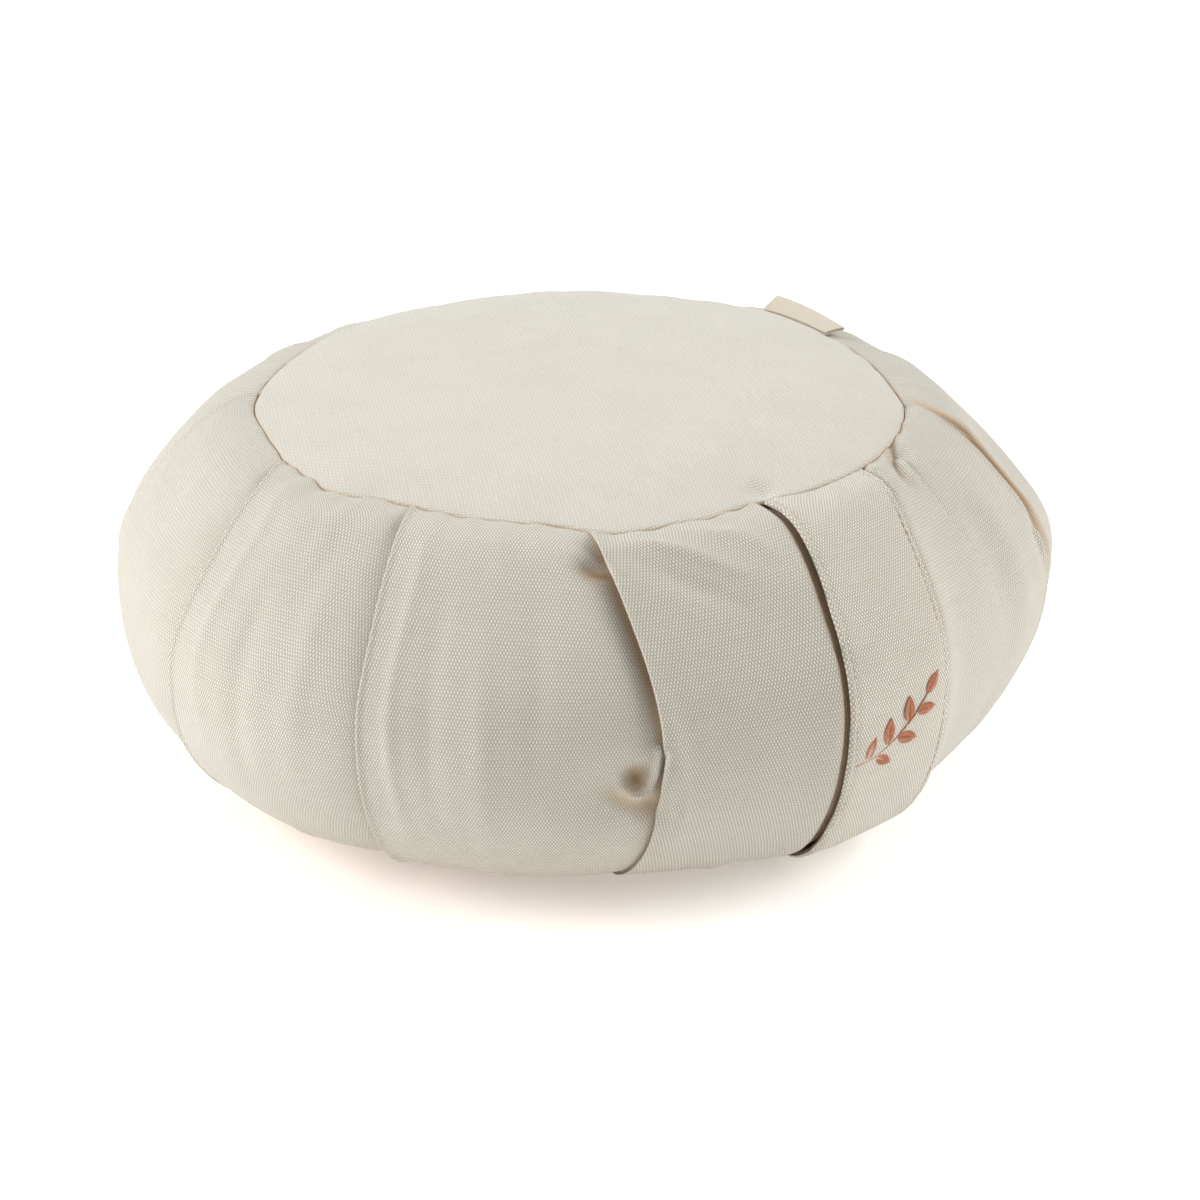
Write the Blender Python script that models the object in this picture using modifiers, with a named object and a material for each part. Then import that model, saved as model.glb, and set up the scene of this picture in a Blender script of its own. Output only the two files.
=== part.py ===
"""Round pleated floor cushion of natural cotton canvas, with a carry handle.

A crowned round panel on top, one deep side wall laid in knife pleats from the
top seam to the bottom seam, a flat round panel below, a canvas handle sewn
into both seams and a small ribbon label in the top seam.

Metres, +Z up. The cushion rests on z = 0 and is centred on the Z axis. The
handle faces -Y. A bearing is an angle in degrees seen from above, 0 at the
handle, 90 at +X and -90 at -X.
"""

import math
from collections import namedtuple

import bmesh
import bpy

MM = 0.001

# Heights of the two seams and the shape of the round panels.
TOP_SEAM_HEIGHT = 131.3 * MM
TOP_SEAM_RADIUS = 114.0 * MM
TOP_CROWN = 7.0 * MM
TOP_CROWN_POWER = 2.4
BOTTOM_SEAM_HEIGHT = 6.0 * MM
BOTTOM_SEAM_RADIUS = 115.0 * MM
FLAT_RADIUS = 104.0 * MM
TURN_UP_POWER = 1.6
CLOTH = 1.8 * MM
GAP = 0.3 * MM

# The side wall is a rounded profile, a little slack between the girth and each
# seam, and it puffs up just outside the top seam. A drop is a share of the way
# down the wall.
UPPER_SLACK = 0.06
PUFF_HEIGHT = 1.6 * MM
PUFF_DROP = 0.10
PUFF_SPREAD = 0.06
OFFSET_STEP = 0.004

# Cross-section of one pleat: how far the fold spreads on each side of its edge.
TUCK_SPREAD = 9.0 * MM
LIFT_SPREAD = 7.0 * MM
LIFT_SHARE = 0.25
SEAM_STEP_SHARE = 0.35
SEAM_STEP_DROP = 0.05

# Each panel between two folds is crowned, most at the girth.
PANEL_CROWN = 2.6 * MM
PANEL_CROWN_AT_SEAMS = 0.4

# Columns of points beside a fold's edge, on the panel that lies on top and on the
# tucked one, then shares of the panel between them.
COVERING_COLUMNS = (0.6 * MM, 3.0 * MM, 9.0 * MM)
TUCKED_COLUMNS = (0.6 * MM, 2.0 * MM, 6.0 * MM, 15.0 * MM)
PANEL_COLUMNS = (0.25, 0.5, 0.75)
WALL_ROWS = 24
LEAST_HEIGHT = 1.0 * MM

# Rings of points of the round faces, as shares of the way out to the seam.
CAP_RINGS = (0.0, 0.3, 0.6, 0.85, 1.0)
BASE_RINGS = (1.0, FLAT_RADIUS / BOTTOM_SEAM_RADIUS, 0.55, 0.0)
TOP_PANEL_RINGS = (0.0, 0.35, 0.65, 0.86, 1.0)
BOTTOM_PANEL_RINGS = (0.0, 0.5, FLAT_RADIUS / BOTTOM_SEAM_RADIUS, 0.95, 1.0)

# The handle is a folded canvas band that stands off the wall between the seams.
# Its bearings are those of its middle at the top seam, the girth and the hem.
HANDLE_BEARINGS = (6.5, 0.0, 6.0)
HANDLE_WIDTH = 45.0 * MM
HANDLE_THICKNESS = 2.4 * MM
HANDLE_STANDOFF = 6.4 * MM
HANDLE_ARCH_POWER = 0.8
HANDLE_LOOSER_BELOW = 0.4
HANDLE_TWIST = 0.04
HANDLE_END_GAP = 1.1 * MM
HANDLE_END_DROP = 0.12
HANDLE_ACROSS = 8
HANDLE_ALONG = 40

# The wall gives way under the handle's two ends.
BED_DEPTH = 2.6 * MM
BED_EASE = 0.5 * MM
BED_EDGE = 6.0 * MM
BED_EDGE_SLOPE = 4.0
BED_EDGE_MIDDLE = 0.8
BED_DROP_TOP = 0.12
BED_DROP_HEM = 0.10

# The ribbon label sticks out of the top seam at the back.
LABEL_BEARING = 96.0
LABEL_LENGTH = 34.0 * MM
LABEL_DROP = 0.053
LABEL_THICKNESS = 1.2 * MM
LABEL_RISE = 1.6 * MM
LABEL_ACROSS = 10
LABEL_OUT = 3

# The smooth wall at eight bearings: how far out and how high its girth is, and
# how slack it hangs between the girth and the hem.
Section = namedtuple("Section", "bearing girth_radius girth_height hem_slack")
SECTIONS = (
    Section(-174, 161.0 * MM, 74 * MM, 0.02),
    Section(-129, 166.0 * MM, 74 * MM, 0.00),
    Section(-84, 169.5 * MM, 72 * MM, 0.00),
    Section(-39, 163.5 * MM, 72 * MM, 0.02),
    Section(6, 162.0 * MM, 75 * MM, 0.03),
    Section(51, 168.5 * MM, 80 * MM, 0.035),
    Section(96, 168.0 * MM, 76 * MM, 0.03),
    Section(141, 165.0 * MM, 74 * MM, 0.02),
)

# The top seam isn't a true circle: each fold pulls it in or lets it out.
SeamPoint = namedtuple("SeamPoint", "bearing radius")
SEAM = (
    SeamPoint(-174, 114.5 * MM),
    SeamPoint(-149, 113.5 * MM),
    SeamPoint(-126, 115.2 * MM),
    SeamPoint(-111, 113.2 * MM),
    SeamPoint(-98, 114.8 * MM),
    SeamPoint(-84, 117.0 * MM),
    SeamPoint(-73, 110.0 * MM),
    SeamPoint(-60, 111.0 * MM),
    SeamPoint(-45, 111.6 * MM),
    SeamPoint(-33, 118.8 * MM),
    SeamPoint(-20, 114.5 * MM),
    SeamPoint(-6, 109.5 * MM),
    SeamPoint(6, 113.2 * MM),
    SeamPoint(24, 114.8 * MM),
    SeamPoint(44, 115.2 * MM),
    SeamPoint(64, 112.0 * MM),
    SeamPoint(84, 112.6 * MM),
    SeamPoint(103, 116.0 * MM),
    SeamPoint(124, 113.6 * MM),
    SeamPoint(144, 115.4 * MM),
    SeamPoint(166, 113.4 * MM),
)

# One row a pleat: its bearing and the depth of its step at the top seam, the
# girth and the hem. The panel nearer the handle always lies on top.
Pleat = namedtuple("Pleat", "seam girth hem seam_step girth_step hem_step")
PLEATS = (
    Pleat(-162, -159, -162, 3.0 * MM, 1.8 * MM, 3.0 * MM),
    Pleat(-133, -127, -132, 3.0 * MM, 1.8 * MM, 3.0 * MM),
    Pleat(-100, -93, -98, 3.2 * MM, 2.2 * MM, 3.0 * MM),
    Pleat(-68, -64, -68, 3.2 * MM, 1.8 * MM, 3.0 * MM),
    Pleat(-38, -30, -35, 4.5 * MM, 6.5 * MM, 5.0 * MM),
    Pleat(-6, -5, -6, 3.5 * MM, 2.0 * MM, 3.0 * MM),
    Pleat(30, 26, 28, 3.5 * MM, 1.8 * MM, 3.0 * MM),
    Pleat(46, 37, 41, 4.5 * MM, 5.0 * MM, 4.0 * MM),
    Pleat(81, 77, 80, 3.2 * MM, 2.0 * MM, 3.0 * MM),
    Pleat(110, 106, 110, 3.0 * MM, 2.2 * MM, 3.0 * MM),
    Pleat(140, 136, 140, 3.2 * MM, 1.8 * MM, 3.0 * MM),
    Pleat(169, 166, 169, 3.0 * MM, 2.0 * MM, 3.0 * MM),
)

# Soft swells and hollows of the filling, each with its middle and its spread.
Swell = namedtuple("Swell", "bearing drop width_deg width_drop height")
SWELLS = (
    Swell(42, 0.44, 12, 0.14, 5.0 * MM),
    Swell(-35, 0.58, 6, 0.07, -4.0 * MM),
    Swell(-50, 0.60, 14, 0.20, 2.5 * MM),
    Swell(-24, 0.16, 8, 0.10, 2.0 * MM),
    Swell(-84, 0.55, 18, 0.22, 1.5 * MM),
    Swell(126, 0.50, 20, 0.20, 2.0 * MM),
    Swell(40, 0.80, 20, 0.10, 3.5 * MM),
)

# Each piece's colour and roughness.
COLOURS = {
    "pleated_cushion": ((0.68, 0.65, 0.58, 1.0), 0.92),
    "top_panel": ((0.71, 0.68, 0.61, 1.0), 0.92),
    "bottom_panel": ((0.66, 0.62, 0.55, 1.0), 0.92),
    "carry_handle": ((0.67, 0.63, 0.54, 1.0), 0.90),
    "seam_label": ((0.72, 0.66, 0.53, 1.0), 0.75),
}


def wrapped(bearing):
    """The bearing between -180 and 180."""
    return (bearing + 180.0) % 360.0 - 180.0


def eased(rows, column, bearing):
    """A column of a table of bearings, read all the way round without corners."""
    bearing = wrapped(bearing)
    after = next((i for i, row in enumerate(rows) if row.bearing > bearing), 0)
    below, above = rows[after - 1], rows[after]
    share = ((bearing - below.bearing) % 360.0) / ((above.bearing - below.bearing) % 360.0)
    share = (1.0 - math.cos(math.pi * share)) / 2.0
    low, high = getattr(below, column), getattr(above, column)
    return low + (high - low) * share


def through(at_seam, at_girth, at_hem, drop):
    """The smooth curve through a value at the top seam, the girth and the hem."""
    return (
        at_seam * 2.0 * (drop - 0.5) * (drop - 1.0)
        + at_girth * 4.0 * drop * (1.0 - drop)
        + at_hem * 2.0 * drop * (drop - 0.5)
    )


def seam_radius(bearing):
    """How far out the top seam lies at a bearing."""
    return eased(SEAM, "radius", bearing)


def crown_height(share):
    """The top panel's upper face, at a share of the way out to its seam."""
    return TOP_SEAM_HEIGHT + TOP_CROWN * (1.0 - share**TOP_CROWN_POWER)


def base_height(share):
    """The bottom panel's lower face: flat, then turned up to its seam."""
    flat = FLAT_RADIUS / BOTTOM_SEAM_RADIUS
    if share <= flat:
        return 0.0
    return BOTTOM_SEAM_HEIGHT * ((share - flat) / (1.0 - flat)) ** TURN_UP_POWER


def wall_profile(bearing, drop):
    """Radius and height of the smooth wall, drop 0 at the top seam, 1 at the hem."""
    girth = eased(SECTIONS, "girth_radius", bearing)
    middle = eased(SECTIONS, "girth_height", bearing)
    turn = math.pi * (0.5 - drop)
    out, up = math.cos(turn), math.sin(turn)
    if up >= 0.0:
        seam = seam_radius(bearing) + GAP
        reach = TOP_SEAM_HEIGHT - middle
        slack = UPPER_SLACK
    else:
        seam = BOTTOM_SEAM_RADIUS + GAP
        reach = middle - BOTTOM_SEAM_HEIGHT
        slack = eased(SECTIONS, "hem_slack", bearing)
    slack *= math.sin(2.0 * turn) ** 2
    radius = seam + (girth - seam) * (out - slack)
    height = middle + reach * (up - math.copysign(slack, up))
    puff = PUFF_HEIGHT * math.exp(-(((drop - PUFF_DROP) / PUFF_SPREAD) ** 2))
    return radius, height + puff


def over_wall(bearing, drop, off):
    """Radius and height of a point this far off the smooth wall."""
    above = wall_profile(bearing, max(drop - OFFSET_STEP, 0.0))
    below = wall_profile(bearing, min(drop + OFFSET_STEP, 1.0))
    along = math.hypot(below[0] - above[0], below[1] - above[1])
    radius, height = wall_profile(bearing, drop)
    radius += off * (above[1] - below[1]) / along
    height += off * (below[0] - above[0]) / along
    return radius, height


def swell(bearing, drop):
    """How far the filling pushes the wall out of its smooth profile."""
    total = 0.0
    for row in SWELLS:
        aside = wrapped(bearing - row.bearing) / row.width_deg
        along = (drop - row.drop) / row.width_drop
        total += row.height * math.exp(-(aside**2) - along**2)
    return total


def fold_offset(aside, step):
    """The wall's step at a fold: aside is positive on the panel that lies on top."""
    if aside > 0.0:
        return LIFT_SHARE * step * math.exp(-aside / LIFT_SPREAD)
    return -step * math.exp(aside / TUCK_SPREAD)


def fade_at_seams(drop):
    """A fold is pressed flat where it is sewn down."""
    return min(1.0, SEAM_STEP_SHARE + min(drop, 1.0 - drop) / SEAM_STEP_DROP)


def bed_along(drop):
    """The share of the handle's bed at a drop: all of it at both seams."""
    at_top = math.exp(-((drop / BED_DROP_TOP) ** 2))
    at_hem = math.exp(-(((1.0 - drop) / BED_DROP_HEM) ** 2))
    return at_top + at_hem


def handle_bed(bearing, radius, drop):
    """How deep the wall gives way under the handle's two ends."""
    off_middle = wrapped(bearing - through(*HANDLE_BEARINGS, drop))
    if abs(off_middle) > 90.0:
        return 0.0
    aside = abs(radius * math.sin(math.radians(off_middle)))
    past = (aside - HANDLE_WIDTH / 2) / BED_EDGE
    across = 1.0 / (1.0 + math.exp(BED_EDGE_SLOPE * (past - BED_EDGE_MIDDLE)))
    return (BED_DEPTH + BED_EASE) * across * bed_along(drop)


def pleat_bearing(index, drop):
    """A pleat's bearing at a drop, counted on past the last pleat."""
    turns, row = divmod(index, len(PLEATS))
    pleat = PLEATS[row]
    return through(pleat.seam, pleat.girth, pleat.hem, drop) + 360.0 * turns


def covers_forward(index):
    """True where the panel at the higher bearings lies on top at this fold."""
    return PLEATS[index % len(PLEATS)].seam < 0.0


def beside_fold(index, ahead):
    """The distances from a fold of the points on the panel ahead of or behind it."""
    return COVERING_COLUMNS if covers_forward(index) == ahead else TUCKED_COLUMNS


def panel_bearings(panel, drop, radius):
    """The bearings of a panel's columns of points, from one fold to the next."""
    start = pleat_bearing(panel, drop)
    end = pleat_bearing(panel + 1, drop)
    after = [start + math.degrees(d / radius) for d in beside_fold(panel, True)]
    before = [end - math.degrees(d / radius) for d in beside_fold(panel + 1, False)]
    width = before[-1] - after[-1]
    between = [after[-1] + share * width for share in PANEL_COLUMNS]
    return after + between + before[::-1]


# Every column of points round the cushion, as its panel and its place in it.
COLUMNS = [
    (panel, place)
    for panel in range(len(PLEATS))
    for place in range(len(panel_bearings(panel, 0.0, TOP_SEAM_RADIUS)))
]


def seam_bearing(column, drop):
    """The bearing at which a column of points meets the top seam or the hem."""
    panel, place = COLUMNS[column]
    radius = TOP_SEAM_RADIUS if drop < 0.5 else BOTTOM_SEAM_RADIUS
    return panel_bearings(panel, drop, radius)[place]


def pleat_push(panel, bearing, radius, drop):
    """How far a panel's crown and its two folds move the wall off its profile."""
    start = pleat_bearing(panel, drop)
    end = pleat_bearing(panel + 1, drop)
    across = 2.0 * (bearing - start) / (end - start) - 1.0
    at_girth = math.sin(math.pi * drop)
    crown = PANEL_CROWN_AT_SEAMS + (1.0 - PANEL_CROWN_AT_SEAMS) * at_girth
    push = -PANEL_CROWN * crown * across**2
    for index, ahead in ((panel, True), (panel + 1, False)):
        row = PLEATS[index % len(PLEATS)]
        aside = abs(bearing - pleat_bearing(index, drop)) * math.radians(radius)
        on_top = aside if covers_forward(index) == ahead else -aside
        step = through(row.seam_step, row.girth_step, row.hem_step, drop)
        push += fold_offset(on_top, step) * fade_at_seams(drop)
    return push


def wall_point(column, drop):
    """A point of the pleated wall as x, y, z."""
    panel, place = COLUMNS[column]
    middle = (pleat_bearing(panel, drop) + pleat_bearing(panel + 1, drop)) / 2
    radius, _ = wall_profile(middle, drop)
    bearing = panel_bearings(panel, drop, radius)[place]
    push = pleat_push(panel, bearing, radius, drop)
    push += swell(bearing, drop) * math.sin(math.pi * drop)
    push -= handle_bed(bearing, radius, drop)
    radius, height = over_wall(bearing, drop, push)
    return placed(radius, bearing, max(height, LEAST_HEIGHT))


def placed(radius, bearing, height):
    """The x, y, z of a point at this radius, bearing and height."""
    turn = math.radians(bearing)
    return radius * math.sin(turn), -radius * math.cos(turn), height


def new_object(name, mesh, collection):
    """An object of the mesh, with its own material, in the part's collection."""
    colour, roughness = COLOURS[name]
    material = bpy.data.materials.new(name)
    material.use_nodes = True
    shader = material.node_tree.nodes["Principled BSDF"]
    shader.inputs["Base Color"].default_value = colour
    shader.inputs["Roughness"].default_value = roughness
    shader.inputs["Metallic"].default_value = 0.0
    mesh.materials.append(material)
    mesh.shade_smooth()
    piece = bpy.data.objects.new(name, mesh)
    collection.objects.link(piece)
    return piece


def mesh_of(name, bm):
    """The mesh of a finished bmesh."""
    mesh = bpy.data.meshes.new(name)
    bm.to_mesh(mesh)
    bm.free()
    return mesh


def ball_index(vert, columns, rows):
    """The column and row of a vertex of a unit UV sphere, row 0 at its top."""
    row = round(math.acos(max(-1.0, min(1.0, vert.co.z))) / math.pi * rows)
    column = round(math.atan2(vert.co.y, vert.co.x) / (2 * math.pi) * columns) % columns
    return column, row


def cap_point(column, share):
    """A point of the cushion's upper face, under the top panel."""
    bearing = seam_bearing(column, 0.0)
    seam = seam_radius(bearing)
    radius = share * (seam + GAP)
    return placed(radius, bearing, crown_height(radius / (seam - GAP)) - CLOTH - GAP)


def base_point(column, share):
    """A point of the cushion's lower face, on the bottom panel."""
    radius = share * (BOTTOM_SEAM_RADIUS + GAP)
    height = base_height(radius / (BOTTOM_SEAM_RADIUS - GAP)) + CLOTH + GAP
    return placed(radius, seam_bearing(column, 1.0), height)


def make_cushion(collection):
    """The filled body: a ball whose points are moved to the pleated shape."""
    wall_start = len(CAP_RINGS)
    wall_end = wall_start + WALL_ROWS
    rows = wall_end + len(BASE_RINGS)
    bm = bmesh.new()
    bmesh.ops.create_uvsphere(bm, u_segments=len(COLUMNS), v_segments=rows, radius=1.0)
    for vert in bm.verts:
        column, row = ball_index(vert, len(COLUMNS), rows)
        if row < wall_start:
            vert.co = cap_point(column, CAP_RINGS[row])
        elif row <= wall_end:
            vert.co = wall_point(column, (row - wall_start) / WALL_ROWS)
        else:
            vert.co = base_point(column, BASE_RINGS[row - wall_end - 1])
    return new_object("pleated_cushion", mesh_of("pleated_cushion", bm), collection)


def make_round_sheet(name, collection, drop, shares, radius_of, height_of):
    """A round sheet: a spun fan of rings moved to its outline, then extruded down."""
    rings = len(shares) - 1
    bm = bmesh.new()
    line = [bm.verts.new((step / rings, 0.0, 0.0)) for step in range(rings + 1)]
    for inner, outer in zip(line, line[1:]):
        bm.edges.new((inner, outer))
    bmesh.ops.spin(
        bm,
        geom=line + list(bm.edges),
        cent=(0.0, 0.0, 0.0),
        axis=(0.0, 0.0, 1.0),
        dvec=(0.0, 0.0, 0.0),
        angle=2.0 * math.pi,
        steps=len(COLUMNS),
        use_merge=True,
        use_duplicate=False,
    )
    bmesh.ops.remove_doubles(bm, verts=bm.verts, dist=1e-5)
    for vert in bm.verts:
        share = shares[round(vert.co.length * rings)]
        column = round(math.atan2(vert.co.y, vert.co.x) / (2 * math.pi) * len(COLUMNS))
        bearing = seam_bearing(column % len(COLUMNS), drop)
        vert.co = placed(share * (radius_of(bearing) - GAP), bearing, height_of(share))
    below = bmesh.ops.extrude_face_region(bm, geom=list(bm.faces), use_keep_orig=True)
    low_verts = [item for item in below["geom"] if isinstance(item, bmesh.types.BMVert)]
    bmesh.ops.translate(bm, verts=low_verts, vec=(0.0, 0.0, -CLOTH))
    bmesh.ops.recalc_face_normals(bm, faces=bm.faces)
    return new_object(name, mesh_of(name, bm), collection)


def turned_up(bm):
    """Faces of an open sheet all face the side that most of them face upwards."""
    bmesh.ops.recalc_face_normals(bm, faces=bm.faces)
    if sum(face.normal.z * face.calc_area() for face in bm.faces) < 0.0:
        bmesh.ops.reverse_faces(bm, faces=bm.faces)


def add_thickness(piece, thickness):
    """Thickens a sheet in front of its faces."""
    skin = piece.modifiers.new("thickness", "SOLIDIFY")
    skin.thickness = thickness
    skin.offset = 1.0


def make_top_panel(collection):
    """The round panel on top, from its crowned upper face down."""
    return make_round_sheet(
        "top_panel",
        collection,
        0.0,
        TOP_PANEL_RINGS,
        seam_radius,
        crown_height,
    )


def make_bottom_panel(collection):
    """The round panel that the cushion rests on."""
    return make_round_sheet(
        "bottom_panel",
        collection,
        1.0,
        BOTTOM_PANEL_RINGS,
        lambda bearing: BOTTOM_SEAM_RADIUS,
        lambda share: base_height(share) + CLOTH,
    )


def handle_outline(middle, aside, drop):
    """How far the handle's end follows its seam's curve at this side of its middle."""
    if drop < 0.5:
        at_middle = seam_radius(middle)
        here = seam_radius(middle + math.degrees(aside / TOP_SEAM_RADIUS))
    else:
        at_middle = here = BOTTOM_SEAM_RADIUS
    outline = math.sqrt((here + HANDLE_END_GAP) ** 2 - aside**2) - at_middle - GAP
    return outline * math.exp(-((min(drop, 1.0 - drop) / HANDLE_END_DROP) ** 2))


def handle_point(aside, drop):
    """A point of the handle's inner face, this far to the side of its middle."""
    middle = through(*HANDLE_BEARINGS, drop)
    arch = math.sin(math.pi * drop)
    looser = 1.0 + HANDLE_LOOSER_BELOW * (drop - 0.5)
    off = GAP + HANDLE_STANDOFF * arch**HANDLE_ARCH_POWER * looser
    radius, height = over_wall(middle, drop, off - BED_DEPTH * bed_along(drop))
    radius += handle_outline(middle, aside, drop) - HANDLE_TWIST * aside * arch
    turn = math.radians(middle)
    x = radius * math.sin(turn) + aside * math.cos(turn)
    y = -radius * math.cos(turn) + aside * math.sin(turn)
    return x, y, height


def make_handle(collection):
    """The carry handle: a flat grid bent over the wall from seam to seam."""
    bm = bmesh.new()
    bmesh.ops.create_grid(bm, x_segments=HANDLE_ACROSS, y_segments=HANDLE_ALONG, size=0.5)
    for vert in bm.verts:
        vert.co = handle_point(vert.co.x * HANDLE_WIDTH, 0.5 - vert.co.y)
    piece = new_object("carry_handle", mesh_of("carry_handle", bm), collection)
    add_thickness(piece, HANDLE_THICKNESS)
    return piece


def make_label(collection):
    """The ribbon label: a small plate over the wall, held in the top seam."""
    bm = bmesh.new()
    bmesh.ops.create_grid(bm, x_segments=LABEL_ACROSS, y_segments=LABEL_OUT, size=0.5)
    for vert in bm.verts:
        share = vert.co.y + 0.5
        bearing = LABEL_BEARING + math.degrees(vert.co.x * LABEL_LENGTH / TOP_SEAM_RADIUS)
        drop = share * LABEL_DROP
        radius, height = over_wall(bearing, drop, GAP + LABEL_RISE * share)
        vert.co = placed(radius, bearing, height)
    turned_up(bm)
    piece = new_object("seam_label", mesh_of("seam_label", bm), collection)
    add_thickness(piece, LABEL_THICKNESS)
    return piece


def clear():
    """Removes the objects that the file opens with."""
    for item in list(bpy.data.objects):
        bpy.data.objects.remove(item)


def main():
    clear()
    collection = bpy.data.collections.new("zafu_cushion")
    bpy.context.scene.collection.children.link(collection)
    make_cushion(collection)
    make_top_panel(collection)
    make_bottom_panel(collection)
    make_handle(collection)
    make_label(collection)


main()
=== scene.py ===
"""Dressed model of the round pleated floor cushion.

The filled body, its two round panels, the carry handle, the ribbon label and the
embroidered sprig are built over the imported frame, in its own place and size.

Metres, +Z up, the handle faces -Y. A bearing is an angle in degrees seen from
above, 0 at the handle, 90 at +X and -90 at -X. A drop is a share of the way down
the side wall, 0 at the top seam and 1 at the hem.
"""

from __future__ import annotations

import logging
import math
from dataclasses import dataclass
from enum import Enum
from typing import NamedTuple

import bmesh
import bpy
import numpy as np
from mathutils import Euler, Matrix, Vector


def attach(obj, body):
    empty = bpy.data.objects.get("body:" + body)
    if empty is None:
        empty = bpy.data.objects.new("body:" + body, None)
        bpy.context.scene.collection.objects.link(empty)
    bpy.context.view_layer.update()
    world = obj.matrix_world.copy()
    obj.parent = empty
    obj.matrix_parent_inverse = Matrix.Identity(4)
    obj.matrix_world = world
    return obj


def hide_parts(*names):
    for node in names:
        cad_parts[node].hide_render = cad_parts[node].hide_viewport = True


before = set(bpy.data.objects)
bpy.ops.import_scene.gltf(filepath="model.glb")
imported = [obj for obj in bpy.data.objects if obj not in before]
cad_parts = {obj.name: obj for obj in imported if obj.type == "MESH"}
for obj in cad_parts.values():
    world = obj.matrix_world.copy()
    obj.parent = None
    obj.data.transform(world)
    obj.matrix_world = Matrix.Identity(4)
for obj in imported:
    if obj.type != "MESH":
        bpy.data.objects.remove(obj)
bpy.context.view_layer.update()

MM = 0.001
BODY = "root"
LOG = logging.getLogger("zafu_cushion")
Array = np.ndarray


# ---------------------------------------------------------------- tables of sizes


class Section(NamedTuple):
    """The smooth wall at one bearing."""

    bearing: float
    girth_radius: float
    girth_height: float
    hem_slack: float


class SeamPoint(NamedTuple):
    """How far out the top seam lies at one bearing."""

    bearing: float
    radius: float


class Pleat(NamedTuple):
    """One knife pleat: its bearing at each station and the size of its step."""

    bearings: tuple[float, ...]
    seam_step: float
    girth_step: float
    hem_step: float
    tuck: float
    shows: tuple[float, ...]
    spread: float = 9.0 * MM


class Swell(NamedTuple):
    """A soft swell (or, below nought, a hollow) of the filling."""

    bearing: float
    drop: float
    width_deg: float
    width_drop: float
    height: float


class Crease(NamedTuple):
    """A small ridge or groove of the cloth along a few points of the wall."""

    path: tuple[tuple[float, float], ...]
    width: float
    height: float
    start: float = 0.35
    # Painted shade along the crease; below nought, a painted highlight.
    painted_shade: float = 0.0


class Dent(NamedTuple):
    """A small round hollow or bump of the cloth."""

    bearing: float
    drop: float
    across: float
    down: float
    height: float
    # Painted shade in the dent; below nought, a painted highlight.
    painted_shade: float = 0.0


SECTIONS = (
    Section(-174, 161.0 * MM, 74 * MM, 0.02),
    Section(-129, 166.0 * MM, 74 * MM, 0.00),
    Section(-84, 169.5 * MM, 72 * MM, 0.00),
    Section(-39, 163.5 * MM, 72 * MM, 0.02),
    Section(6, 162.0 * MM, 75 * MM, 0.03),
    Section(51, 168.5 * MM, 80 * MM, 0.035),
    Section(96, 168.0 * MM, 76 * MM, 0.03),
    Section(141, 165.0 * MM, 74 * MM, 0.02),
)

SEAM = (
    SeamPoint(-174, 114.5 * MM),
    SeamPoint(-149, 113.5 * MM),
    SeamPoint(-126, 115.2 * MM),
    SeamPoint(-111, 113.2 * MM),
    SeamPoint(-98, 114.8 * MM),
    SeamPoint(-84, 117.0 * MM),
    SeamPoint(-73, 110.0 * MM),
    SeamPoint(-60, 111.0 * MM),
    SeamPoint(-45, 111.6 * MM),
    SeamPoint(-33, 118.8 * MM),
    SeamPoint(-20, 114.5 * MM),
    SeamPoint(-6, 109.5 * MM),
    SeamPoint(6, 113.2 * MM),
    SeamPoint(24, 114.8 * MM),
    SeamPoint(44, 115.2 * MM),
    SeamPoint(64, 112.0 * MM),
    SeamPoint(84, 112.6 * MM),
    SeamPoint(103, 116.0 * MM),
    SeamPoint(124, 113.6 * MM),
    SeamPoint(144, 115.4 * MM),
    SeamPoint(166, 113.4 * MM),
)

# The drops at which a pleat's bearing and its share of show are given.
STATIONS = (0.0, 0.07, 0.2, 0.35, 0.5, 0.7, 1.0)
GIRTH_STATION = 4
EVEN = (1.0, 1.0, 1.0, 1.0, 1.0, 1.0, 1.0)
SOFTER_BELOW = (1.0, 1.0, 1.0, 0.9, 0.8, 0.8, 1.0)
SHORT_TUCK = (0.5, 0.5, 0.2, 0.0, 0.0, 0.1, 1.0)
DEEP_ABOVE = (0.8, 1.0, 1.0, 1.0, 0.75, 0.32, 0.25)

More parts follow.
